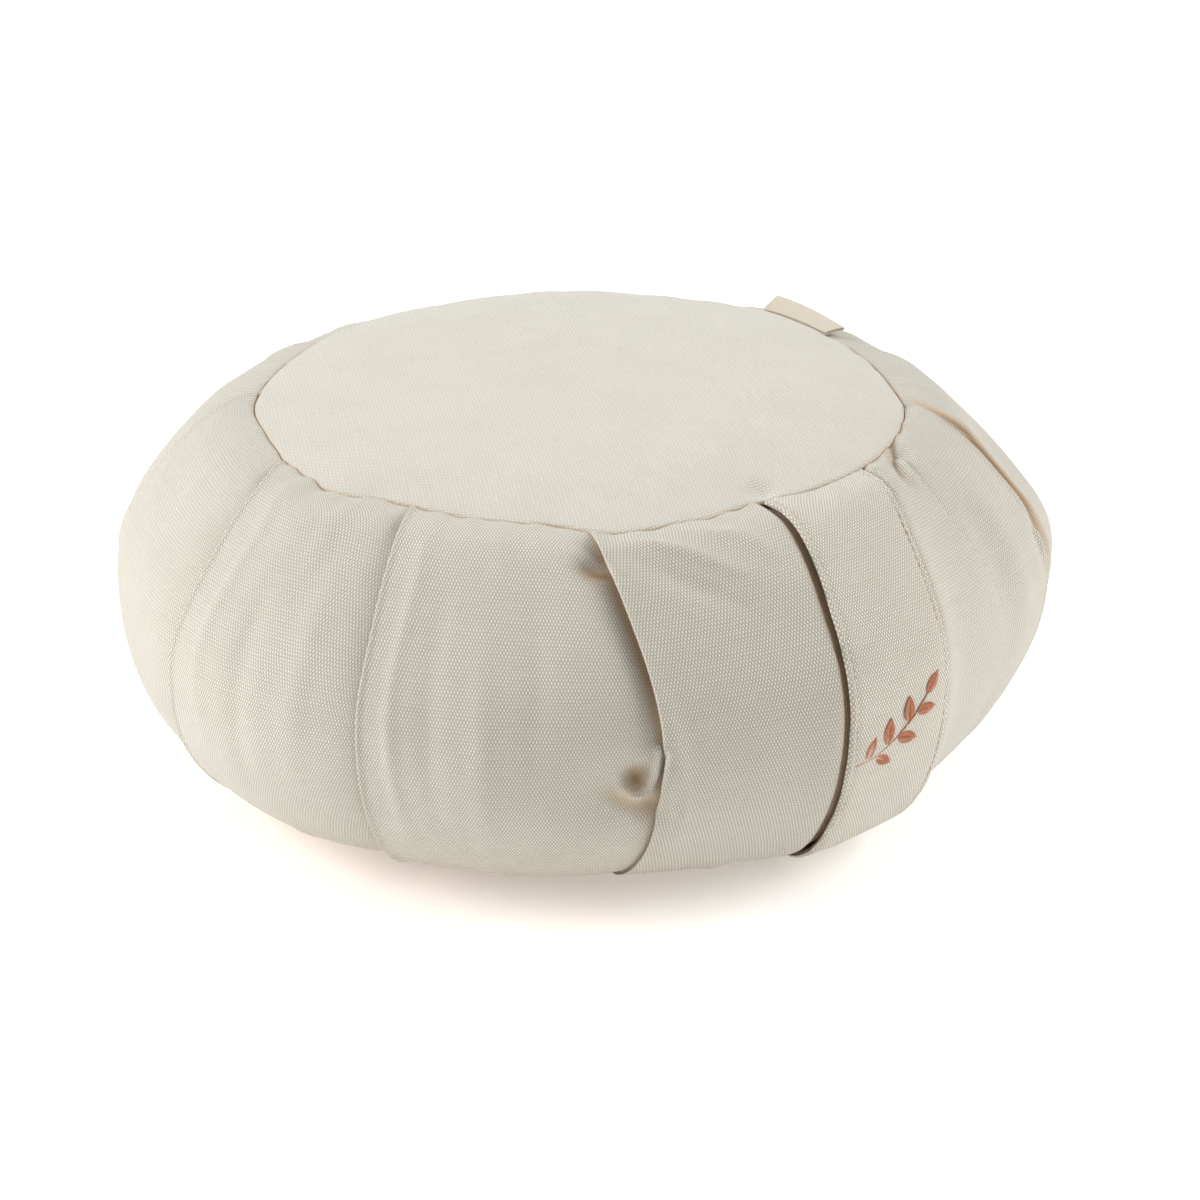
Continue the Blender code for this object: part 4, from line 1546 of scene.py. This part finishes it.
    def cloth_map(self, places: list[ColumnPlace], wall: Array) -> tuple[Array, Array]:
        """Distances across and down the cloth of each point of the wall.

        Args:
            places: The columns.
            wall: The wall's points.

        Returns:
            The distance from the panel's middle, and down from the top seam.
        """
        across = np.zeros(wall.shape[:2])
        down = np.zeros(wall.shape[:2])
        panels = np.array([p.panel for p in places])
        for panel in range(len(PLEATS)):
            index = np.flatnonzero(panels == panel)
            part = wall[:, index]
            step = np.linalg.norm(np.diff(part, axis=1), axis=2)
            reach = np.concatenate([np.zeros((len(wall), 1)), np.cumsum(step, axis=1)], axis=1)
            middle = len(index) // 2
            across[:, index] = reach - reach[:, middle : middle + 1] + self.map_shift * panel
            fall = np.linalg.norm(np.diff(part[:, middle], axis=0), axis=1)
            down[:, index] = np.concatenate([[0.0], np.cumsum(fall)])[:, None]
        return across, down

    def build(self, finish: CanvasFinish) -> bpy.types.Object:
        """Builds the body.

        Args:
            finish: Its canvas.

        Returns:
            The finished piece.
        """
        places = self.columns()
        drop = self.row_drops()
        bearing, push, depth = self.wall_grid(places, drop)
        wall = self.wall_points(bearing, push, drop)
        caps, bases = np.array(self.cap_rings), np.array(self.base_rings)
        grid = self.form_points(wall, bearing, caps, bases)
        mesh, column, row = self.ball(len(places), len(grid) - 1)
        write_points(mesh, grid[row, column])
        wall_row = np.clip(row - len(caps), 0, len(drop) - 1)
        across, down = self.cloth_map(places, wall)
        self.lay_map(mesh, places, column, wall_row, across, down)
        down_share = np.broadcast_to(drop[:, None], bearing.shape)
        radius, _ = FORM.profile(bearing, down_share)
        # The crease attribute gathers painted shade: from the folds, the seam and hem, the dents
        # and creases, and under the handle.
        depth = depth + FORM.wall_painted_shade(bearing, down_share)
        depth = np.maximum(depth, self.handle_shade(bearing, radius, down_share))
        paint_shade_and_highlight(mesh, depth[wall_row, column])
        piece = self.piece.finish(mesh, finish.material())
        return piece

    def lay_map(
        self,
        mesh: bpy.types.Mesh,
        places: list[ColumnPlace],
        column: Array,
        wall_row: Array,
        across: Array,
        down: Array,
    ) -> None:
        """Writes the cloth's map, joined up over the line between two panels.

        Args:
            mesh: The body's mesh.
            places: The columns.
            column: Each vertex's column.
            wall_row: Each vertex's row of the wall.
            across: Distance across the cloth, by row and column.
            down: Distance down the cloth, by row and column.
        """
        verts = corner_verts(mesh)
        sizes = np.empty(len(mesh.polygons), np.int32)
        mesh.polygons.foreach_get("loop_total", sizes)
        starts = np.concatenate([[0], np.cumsum(sizes)[:-1]])
        corner_column = column[verts]
        panels = np.array([p.panel for p in places])
        corner_panel = panels[corner_column]
        low = np.minimum.reduceat(corner_panel, starts)
        high = np.maximum.reduceat(corner_panel, starts)
        mixed = np.repeat(low != high, sizes)
        last = len(PLEATS) - 1
        own = np.repeat(np.where((low == 0) & (high == last), high, low), sizes)
        other = mixed & (corner_panel != own)
        before = (corner_column - 1) % len(places)
        u = across[wall_row[verts], corner_column]
        u = np.where(other, across[wall_row[verts], before] + self.map_join, u)
        v = down[wall_row[verts], corner_column]
        lay_cloth_map(mesh, np.stack([u, v], axis=1))


# ----------------------------------------------------------------- round panels


@dataclass(frozen=True)
class TopPanel:
    """The crowned round panel, its rim rolled down into the seam."""

    piece: Piece = Piece("round_top", "top_panel", "panel_canvas")
    rings: int = 64
    steps: int = 420
    rim_roll: float = 1.0 * MM
    rim_width: float = 1.5 * MM
    rim_shade: float = 0.4
    shaded_past: float = 0.6
    grain: tuple[float, float] = (0.870, -0.493)

    def build(self, finish: CanvasFinish, body: bpy.types.Object) -> bpy.types.Object:
        """Builds the panel.

        Args:
            finish: Its canvas.
            body: The filled body that it lies on; not used.

        Returns:
            The finished piece.
        """
        mesh = mesh_from(self.piece.name, round_slab(self.rings, self.steps))
        bearing, share, upper = disc_places(mesh)
        radius = share * (FORM.seam_radius(bearing) - FORM.slit)
        inset = (1.0 - share) * FORM.top_seam_radius
        past = np.clip(1.0 - inset / self.rim_width, 0.0, 1.0)
        roll = self.rim_roll * (1.0 - np.sqrt(1.0 - past**2))
        face = FORM.crown_height(share) + FORM.top_relief(bearing, radius)
        height = np.where(upper, face - roll, face - FORM.cloth)
        points = placed(radius, bearing, height)
        write_points(mesh, points)
        u = points[:, 0] * -self.grain[1] + points[:, 1] * self.grain[0]
        v = points[:, 0] * self.grain[0] + points[:, 1] * self.grain[1]
        lay_cloth_map(mesh, np.stack([u, v], axis=1)[corner_verts(mesh)])
        # Painted shade along the rim, where it rolls down into the seam.
        shaded = np.clip(past - self.shaded_past, 0.0, 1.0) / (1.0 - self.shaded_past)
        paint_shade_and_highlight(mesh, self.rim_shade * shaded)
        piece = self.piece.finish(mesh, finish.material())
        return piece


@dataclass(frozen=True)
class BottomPanel:
    """The round panel that the cushion rests on, turned up to its seam."""

    piece: Piece = Piece("round_base", "bottom_panel", "panel_canvas")
    rings: int = 40
    steps: int = 300
    pucker: float = 0.35 * MM
    turn_up: float = 11.0 * MM
    turn_shade: float = 0.9

    def build(self, finish: CanvasFinish, body: bpy.types.Object) -> bpy.types.Object:
        """Builds the panel.

        Args:
            finish: Its canvas.
            body: The filled body that lies on it; not used.

        Returns:
            The finished piece.
        """
        mesh = mesh_from(self.piece.name, round_slab(self.rings, self.steps))
        bearing, share, upper = disc_places(mesh)
        radius = share * (FORM.bottom_seam_radius - FORM.slit)
        inset = (1.0 - share) * FORM.bottom_seam_radius
        turned = np.clip(1.0 - inset / self.turn_up, 0.0, 1.0)
        face = FORM.base_height(share) + ripple(bearing, 21, (24, 60)) * self.pucker * turned
        height = np.maximum(face, 0.0) + np.where(upper, FORM.cloth, 0.0)
        points = placed(radius, bearing, height)
        write_points(mesh, points)
        lay_cloth_map(mesh, points[:, :2][corner_verts(mesh)])
        # Painted shade on the turned-up rim.
        paint_shade_and_highlight(mesh, self.turn_shade * turned)
        piece = self.piece.finish(mesh, finish.material())
        return piece


# ------------------------------------------------------------------ carry handle


@dataclass(frozen=True)
class CarryHandle:
    """The folded canvas band that stands off the wall from seam to seam."""

    bearings = (6.5, 0.0, 6.0)
    width = 45.0 * MM
    standoff = 6.0 * MM
    arch_power = 0.8
    looser_below = 0.4

    piece: Piece = Piece("handle_band", "carry_handle", "handle_canvas")
    thickness: float = 2.2 * MM
    twist: float = 0.02
    curl: float = 165.0 * MM
    end_gap: float = 1.1 * MM
    end_drop: float = 0.12
    bed_depth: float = 2.6 * MM
    across: int = 44
    along: int = 220
    rim: float = 1.3 * MM
    stitch_inset: float = 2.6 * MM
    stitch_groove: float = 0.35 * MM
    groove_width: float = 0.7 * MM
    softness: float = 0.16 * MM
    edge_wave: float = 0.22 * MM
    highest_wave: float = 0.25 * MM
    side_wave: float = 0.35 * MM
    under_shade: float = 0.85
    stitch_pitch: float = 3.1 * MM
    stitch_length: float = 2.2 * MM
    stitch_sink: float = 0.24 * MM
    stitch_wobble: float = 0.12
    thread: float = 0.34 * MM

    @staticmethod
    def bed_along(drop: Array) -> Array:
        """The share of the handle's bed at a drop: all of it at both seams."""
        return bell(drop, 0.12) + bell(1.0 - drop, 0.10)

    @classmethod
    def off_wall(cls, drop: Array) -> Array:
        """How far the band's middle stands off the smooth wall."""
        arch = np.sin(math.pi * np.clip(drop, 0.0, 1.0))
        return cls.standoff * arch**cls.arch_power * (1.0 + cls.looser_below * (drop - 0.5))

    def inner(self, aside: Array, drop: Array) -> Array:
        """Points of the band's inner face.

        Args:
            aside: Distance to the side of the band's middle.
            drop: Share of the way down the wall.

        Returns:
            The points.
        """
        middle = through(*self.bearings, drop)
        arch = np.sin(math.pi * np.clip(drop, 0.0, 1.0))
        off = FORM.gap + self.off_wall(drop)
        radius, height = FORM.over_wall(middle, drop, off - self.bed_depth * self.bed_along(drop))
        upper = drop < 0.5
        here = FORM.seam_radius(middle + np.degrees(aside / FORM.top_seam_radius))
        here = np.where(upper, here, FORM.bottom_seam_radius)
        at_middle = np.where(upper, FORM.seam_radius(middle), FORM.bottom_seam_radius)
        outline = np.sqrt((here + self.end_gap) ** 2 - aside**2) - at_middle - FORM.slit
        outline = outline * bell(np.minimum(drop, 1.0 - drop), self.end_drop)
        radius = radius + outline - (self.twist + aside / (2.0 * self.curl)) * aside * arch
        turn = np.radians(middle)
        x = radius * np.sin(turn) + aside * np.cos(turn)
        y = -radius * np.cos(turn) + aside * np.sin(turn)
        return np.stack([x, y, height], axis=-1)

    def normal(self, aside: Array, drop: Array) -> Array:
        """The band's outward direction at its points."""
        beside = 2.0 * MM
        side = self.inner(aside + beside, drop) - self.inner(aside - beside, drop)
        low, high = np.maximum(drop - 0.01, 0.0), np.minimum(drop + 0.01, 1.0)
        down = self.inner(aside, high) - self.inner(aside, low)
        out = np.cross(down, side)
        return out / np.linalg.norm(out, axis=-1, keepdims=True)

    def outer(self, aside: Array, drop: Array, lift: float = 0.0) -> Array:
        """Points of the band's outer face, or this far above it."""
        off = self.thickness + lift
        return self.inner(aside, drop) + self.normal(aside, drop) * off

    def arc(self) -> tuple[Array, Array]:
        """Drops along the band's middle and the distance from its top end."""
        drop = np.linspace(0.0, 1.0, 401)
        points = self.outer(np.zeros_like(drop), drop)
        step = np.linalg.norm(np.diff(points, axis=0), axis=1)
        return drop, np.concatenate([[0.0], np.cumsum(step)])

    def build(self, finish: CanvasFinish, body: bpy.types.Object) -> bpy.types.Object:
        """Builds the band.

        Args:
            finish: Its canvas.
            body: The filled body that it is sewn to; not used.

        Returns:
            The finished piece.
        """
        mesh = mesh_from(self.piece.name, two_sided_grid(self.across, self.along))
        unit = read_points(mesh)
        side = np.sign(unit[:, 0]) * np.abs(unit[:, 0] * 2.0) ** 0.85
        aside = side * self.width / 2
        drop = 0.5 - unit[:, 1]
        outer = unit[:, 2] > 0.5
        drops, reach = self.arc()
        down = np.interp(drop, drops, reach)
        inset = self.width / 2 - np.abs(aside)
        past = np.clip(1.0 - inset / self.rim, 0.0, 1.0)
        round_off = self.thickness / 2 * (1.0 - np.sqrt(1.0 - past**2))
        groove = self.stitch_groove * bell(inset - self.stitch_inset, self.groove_width)
        soft = unevenness(aside, down, 31, 16 * MM) * self.softness
        edge = unevenness(aside * 0.0, down, 32, 9 * MM) * self.edge_wave
        soft = soft + edge * fading(inset, 4 * MM)
        high = self.thickness - round_off - groove + np.minimum(soft, self.highest_wave)
        low = round_off + groove * 0.3
        off = np.where(outer, high, low)
        wave = unevenness(down, down * 0.0 + np.sign(aside) * 0.03, 33, 24 * MM) * self.side_wave
        aside = aside - np.abs(wave) * fading(inset, 5 * MM) * np.sign(aside)
        points = self.inner(aside, drop) + self.normal(aside, drop) * off[:, None]
        write_points(mesh, points)
        lay_cloth_map(mesh, np.stack([aside, down], axis=1)[corner_verts(mesh)])
        # Painted shade on the band's underside.
        paint_shade_and_highlight(mesh, np.where(outer, 0.0, self.under_shade))
        piece = self.piece.finish(mesh, finish.material())
        return piece

    def sew(self, finish: ThreadFinish) -> bpy.types.Object:
        """Sews the two lines of stitches along the band's edges.

        Args:
            finish: The thread.

        Returns:
            The finished piece.
        """
        bm = bmesh.new()
        drops, reach = self.arc()
        rng = np.random.default_rng(41)
        for side in (-1.0, 1.0):
            aside = side * (self.width / 2 - self.stitch_inset)
            starts = np.arange(3.0 * MM, reach[-1] - 5.0 * MM, self.stitch_pitch)
            for start in starts:
                wobble = rng.uniform(-self.stitch_wobble, self.stitch_wobble) * MM
                ends = np.interp([start, start + self.stitch_length], reach, drops)
                points = self.outer(np.full(2, aside + wobble), ends, -self.stitch_sink)
                up = self.normal(np.array([aside]), ends[:1])[0]
                add_bead(bm, Vector(points[0]), Vector(points[1]), Vector(up), self.thread)
        mesh = mesh_from("handle_stitches", bm)
        return Piece("handle_stitches", None, self.piece.slot).finish(mesh, finish.material())


# -------------------------------------------------------------------- embroidery


@dataclass(frozen=True)
class Leaf:
    """One embroidered leaf: where it leaves the stem, its turn and its size."""

    along_stem: float
    turn: float
    length: float
    width: float


@dataclass(frozen=True)
class SprigEmbroidery:
    """A small leafy sprig in satin stitch on the handle's outer face."""

    piece: Piece = Piece("sprig_stitches", None, "handle_canvas")
    middle_aside: float = -0.5 * MM
    middle_height: float = 68.0 * MM
    thread: float = 0.40 * MM
    pitch: float = 0.36 * MM
    above: float = 0.14 * MM
    stem_length: float = 38.0
    stem_pitch: float = 0.75
    stem_overlap: float = 2.2
    stem_slant: float = 0.22
    off_stem: float = 0.5
    leaf_slant: float = 0.16
    shortest: float = 0.3
    stem: tuple[tuple[float, float], ...] = (
        (-19.0, -10.5),
        (-11.5, -9.2),
        (-3.0, -4.6),
        (5.0, 1.6),
        (11.0, 8.0),
    )
    leaves: tuple[Leaf, ...] = (
        Leaf(0.14, 60.0, 8.6, 4.4),
        Leaf(0.26, -56.0, 8.4, 4.4),
        Leaf(0.40, 58.0, 10.2, 5.0),
        Leaf(0.52, -54.0, 9.6, 4.8),
        Leaf(0.68, 54.0, 9.4, 4.8),
        Leaf(0.80, -50.0, 8.4, 4.4),
        Leaf(0.98, 4.0, 8.8, 4.6),
    )

    def stem_point(self, share: float) -> tuple[Vector, Vector]:
        """A point of the stem in mm, and the stem's direction there."""
        knots = np.linspace(0.0, 1.0, len(self.stem))
        before, here, after = (
            Vector([np.interp(at, knots, line) for line in zip(*self.stem)])
            for at in (max(0.0, share - 0.03), share, min(1.0, share + 0.03))
        )
        return here, (after - before).normalized()

    def threads(self) -> list[tuple[Vector, Vector]]:
        """Every thread of the sprig, as its two ends in mm."""
        found = [thread for leaf in self.leaves for thread in self.leaf_threads(leaf)]
        count = int(self.stem_length / self.stem_pitch)
        for i in range(count):
            start, _ = self.stem_point(i / count)
            end, run = self.stem_point(min(1.0, (i + self.stem_overlap) / count))
            slant = Vector((-run.y, run.x)) * self.stem_slant
            found.append((start - slant, end + slant))
        return found

    def leaf_threads(self, leaf: Leaf) -> list[tuple[Vector, Vector]]:
        """The threads of one leaf, slanted out from its middle line.

        Args:
            leaf: The leaf.

        Returns:
            Its threads, as their two ends in mm.
        """
        base, run = self.stem_point(leaf.along_stem)
        turn = math.radians(leaf.turn)
        axis = Vector(
            (
                run.x * math.cos(turn) - run.y * math.sin(turn),
                run.x * math.sin(turn) + run.y * math.cos(turn),
            )
        )
        out = Vector((-axis.y, axis.x))
        base = base + axis * self.off_stem
        count = int(leaf.length / (self.pitch / MM))
        found = []
        for side in (-1.0, 1.0):
            for i in range(count):
                share = (i + 0.5) / count
                tip = min(1.0, share + self.leaf_slant)
                wide = leaf.width / 2 * math.sin(math.pi * tip**0.85) ** 0.8
                start = base + axis * (leaf.length * share)
                end = base + axis * (leaf.length * tip) + out * (side * wide)
                if (end - start).length > self.shortest:
                    found.append((start, end))
        return found

    def build(self, band: CarryHandle, finish: ThreadFinish) -> bpy.types.Object:
        """Sews the sprig on the band.

        Args:
            band: The handle that carries it.
            finish: The thread.

        Returns:
            The finished piece.
        """
        drops, reach = band.arc()
        heights = band.outer(np.zeros_like(drops), drops)[:, 2]
        centre = float(np.interp(-self.middle_height, -heights, reach))
        bm = bmesh.new()
        for start, end in self.threads():
            aside = np.array([start.x, end.x]) * MM + self.middle_aside
            along = np.interp(centre - np.array([start.y, end.y]) * MM, reach, drops)
            points = band.outer(aside, along, self.above)
            up = band.normal(aside[:1], along[:1])[0]
            add_bead(bm, Vector(points[0]), Vector(points[1]), Vector(up), self.thread)
        mesh = mesh_from(self.piece.name, bm)
        return self.piece.finish(mesh, finish.material())


# ------------------------------------------------------------------ ribbon label


@dataclass(frozen=True)
class RibbonLabel:
    """The blank ribbon label, folded double and held in the top seam."""

    piece: Piece = Piece("ribbon_label", "seam_label", "label_ribbon")
    bearing: float = 96.0
    length: float = 34.0 * MM
    drop: float = 0.053
    rise: float = 2.2 * MM
    lean: float = 3.4 * MM
    thickness: float = 1.2 * MM
    ribbon: float = 0.34 * MM
    ply_length: float = 18.0 * MM
    woven_length: float = 16.0 * MM
    flat_share: float = 0.42
    flat_reach: float = 0.92
    across: int = 40
    around: int = 30

    def point(self, share: Array, side: Array, lift: Array) -> Array:
        """Points over the wall beside the seam.

        Args:
            share: Share of the way out, 0 in the seam and 1 at the folded edge.
            side: Share of the label's length, from -0.5 to 0.5.
            lift: How high above the lower ply.

        Returns:
            The points.
        """
        bearing = self.bearing + np.degrees(side * self.length / FORM.top_seam_radius)
        rise = self.rise + self.lean * (side + 0.5)
        off = FORM.gap + rise * share + lift
        radius, height = FORM.over_wall(bearing, share * self.drop, off)
        return placed(radius, bearing, height)

    def build(self, finish: CanvasFinish, body: bpy.types.Object) -> bpy.types.Object:
        """Builds the label.

        Args:
            finish: Its ribbon.
            body: The filled body that it is sewn to; not used.

        Returns:
            The finished piece.
        """
        mesh = mesh_from(self.piece.name, two_sided_grid(self.across, self.around))
        unit = read_points(mesh)
        side = unit[:, 0]
        along = unit[:, 1] + 0.5
        ply = unit[:, 2] * self.ribbon
        half = self.thickness / 2
        bend = (along - self.flat_share) / (1.0 - 2 * self.flat_share)
        turn = math.pi * np.clip(bend, 0.0, 1.0)
        flat_out = np.minimum(along, 1.0 - along) / self.flat_share
        reach = np.clip(flat_out, 0.0, 1.0) * self.flat_reach
        middle = half - self.ribbon / 2
        inner_radius = middle - self.ribbon / 2 + ply
        out = reach + np.sin(turn) * inner_radius / (self.drop * FORM.wall_length)
        lift = half - np.cos(turn) * inner_radius
        points = self.point(np.clip(out, 0.0, 1.2), side, lift)
        write_points(mesh, points)
        u = side * self.length
        v = along * self.woven_length
        lay_cloth_map(mesh, np.stack([u, v], axis=1)[corner_verts(mesh)])
        paint_shade_and_highlight(mesh, np.zeros(len(unit)))
        piece = self.piece.finish(mesh, finish.material())
        return piece


# ------------------------------------------------------------------------ studio


@dataclass(frozen=True)
class Studio:
    """A plain pale floor, soft light and the camera of the photograph."""

    camera_place: tuple[float, float, float] = (-0.8253, -1.0192, 0.6453)
    camera_aim: tuple[float, float, float] = (0.0056, -0.0045, 0.0536)
    lens: float = 118.83
    light_aim: tuple[float, float, float] = (0.0, 0.0, 0.08)
    right: tuple[float, float] = (0.7771, -0.6293)
    away: tuple[float, float] = (0.6293, 0.7771)
    floor_dim: tuple[float, ...] = (0.90, 0.90, 0.895, 1.0)
    floor_pale: tuple[float, ...] = (0.92, 0.92, 0.915, 1.0)
    # A painted warm bounce of light on the floor near the cushion.
    painted_floor_bounce: tuple[float, ...] = (0.89, 0.80, 0.73, 1.0)
    floor_shine: tuple[float, ...] = (1.0, 0.985, 0.96, 1.0)
    floor_light: float = 0.31
    # Painted shade: how much the floor's own glow falls towards the front.
    front_shade: float = 0.27

    @staticmethod
    def facing(run: Vector) -> Euler:
        """The turn that points a light or a camera along this direction."""
        return run.to_track_quat("-Z", "Y").to_euler()

    def place(self, right: float, away: float, up: float) -> Vector:
        """A point given to the right of, behind and above the cushion's middle."""
        x = self.right[0] * right + self.away[0] * away
        y = self.right[1] * right + self.away[1] * away
        return Vector((x, y, up))

    def add_floor(self) -> None:
        """Lays the pale floor, with a painted brownish bounce of light round the cushion's foot on
        its left and painted shade towards the front.
        """
        bm = bmesh.new()
        bmesh.ops.create_circle(bm, cap_ends=True, cap_tris=False, segments=96, radius=4.0)
        mesh = mesh_from("studio_floor", bm)
        made, desk, shader = new_material("pale_floor")
        place = desk.put("ShaderNodeTexCoord").outputs["Object"]
        pale = desk.blend(desk.noise(place, 3.0, 2.0), self.floor_dim, self.floor_pale)
        reach = desk.put("ShaderNodeVectorMath", operation="LENGTH")
        desk.feed(reach.inputs[0], place)
        # Painted warm bounce light round the cushion's foot, on its left.
        bounce = desk.math("SUBTRACT", 1.0, desk.ramp(reach.outputs["Value"], 0.12, 0.195))
        parts = desk.put("ShaderNodeSeparateXYZ")
        desk.feed(parts.inputs[0], place)
        leftward, frontward = (
            desk.math(
                "ADD",
                desk.math("MULTIPLY", parts.outputs[0], -x),
                desk.math("MULTIPLY", parts.outputs[1], -y),
            )
            for x, y in (self.right, self.away)
        )
        bounce = desk.math("MULTIPLY", bounce, desk.ramp(leftward, -0.12, 0.04))
        desk.feed(shader.inputs["Base Color"], desk.blend(bounce, pale, self.painted_floor_bounce))
        # Painted shade: the floor darkens towards the front.
        front_shading = desk.math("MULTIPLY", desk.ramp(frontward, 0.12, 0.40), self.front_shade)
        desk.feed(shader.inputs["Emission Strength"], desk.math("SUBTRACT", self.floor_light, front_shading))
        desk.preset(
            shader, Roughness=0.75, Emission_Color=self.floor_shine, Specular_IOR_Level=0.2
        )
        mesh.materials.append(made)
        floor = bpy.data.objects.new("studio_floor", mesh)
        bpy.context.scene.collection.objects.link(floor)

    def add_light(self, name: str, place: Vector, size: float, energy: float) -> None:
        """Hangs one soft square light.

        Args:
            name: Its name.
            place: Where it hangs, turned to the cushion's middle.
            size: The length of its sides.
            energy: Its power in watts.
        """
        data = bpy.data.lights.new(name, "AREA")
        data.shape = "SQUARE"
        data.size = size
        data.energy = energy
        lamp = bpy.data.objects.new(name, data)
        lamp.location = place
        lamp.rotation_euler = self.facing(Vector(self.light_aim) - place)
        bpy.context.scene.collection.objects.link(lamp)

    def build(self) -> None:
        """Sets up the floor, the light and the camera."""
        self.add_floor()
        world = bpy.data.worlds.new("studio_air")
        world.use_nodes = True
        air = world.node_tree.nodes["Background"]
        air.inputs["Color"].default_value = (1.0, 1.0, 1.0, 1.0)
        air.inputs["Strength"].default_value = 0.34
        bpy.context.scene.world = world
        bpy.context.scene.view_settings.view_transform = "Standard"
        self.add_light("left_light", self.place(-1.8, -0.3, 1.1), 1.3, 44.0)
        self.add_light("right_light", self.place(1.8, 0.0, 1.1), 1.4, 33.0)
        self.add_light("top_light", self.place(0.0, 0.8, 2.2), 1.8, 10.0)
        data = bpy.data.cameras.new("photo_camera")
        data.lens = self.lens
        data.sensor_width = 36.0
        data.clip_end = 20.0
        camera = bpy.data.objects.new("photo_camera", data)
        camera.location = self.camera_place
        camera.rotation_euler = self.facing(Vector(self.camera_aim) - camera.location)
        bpy.context.scene.collection.objects.link(camera)
        bpy.context.scene.camera = camera


# -------------------------------------------------------------------------- main


def main() -> None:
    """Builds every sub-assembly in order."""
    logging.basicConfig(level=logging.INFO, format="%(message)s")
    Studio().build()
    side = CanvasFinish("side_canvas_cloth")
    panel = CanvasFinish(
        "panel_canvas_cloth", yarn=(0.745, 0.717, 0.64), gap_share=0.6, relief=0.16 * MM
    )
    strap = CanvasFinish(
        "handle_canvas_cloth",
        yarn=(0.86, 0.81, 0.715),
        warp_pitch=0.55 * MM,
        weft_pitch=1.08 * MM,
    )
    ribbon = CanvasFinish(
        "label_ribbon_cloth",
        yarn=(0.60, 0.53, 0.42),
        warp_pitch=0.28 * MM,
        weft_pitch=0.36 * MM,
        relief=0.05 * MM,
        gap_share=0.25,
        sheen=0.4,
    )
    cream = ThreadFinish("cream_thread", (0.60, 0.52, 0.39), (0.45, 0.37, 0.26))
    terracotta = ThreadFinish(
        "terracotta_thread", (0.53, 0.205, 0.10), (0.38, 0.13, 0.062), 0.45, 0.1
    )
    body = FilledBody().build(side)
    TopPanel().build(panel, body)
    BottomPanel().build(panel, body)
    handle = CarryHandle()
    handle.build(strap, body)
    handle.sew(cream)
    SprigEmbroidery().build(handle, terracotta)
    RibbonLabel().build(ribbon, body)


if __name__ == "__main__":
    main()
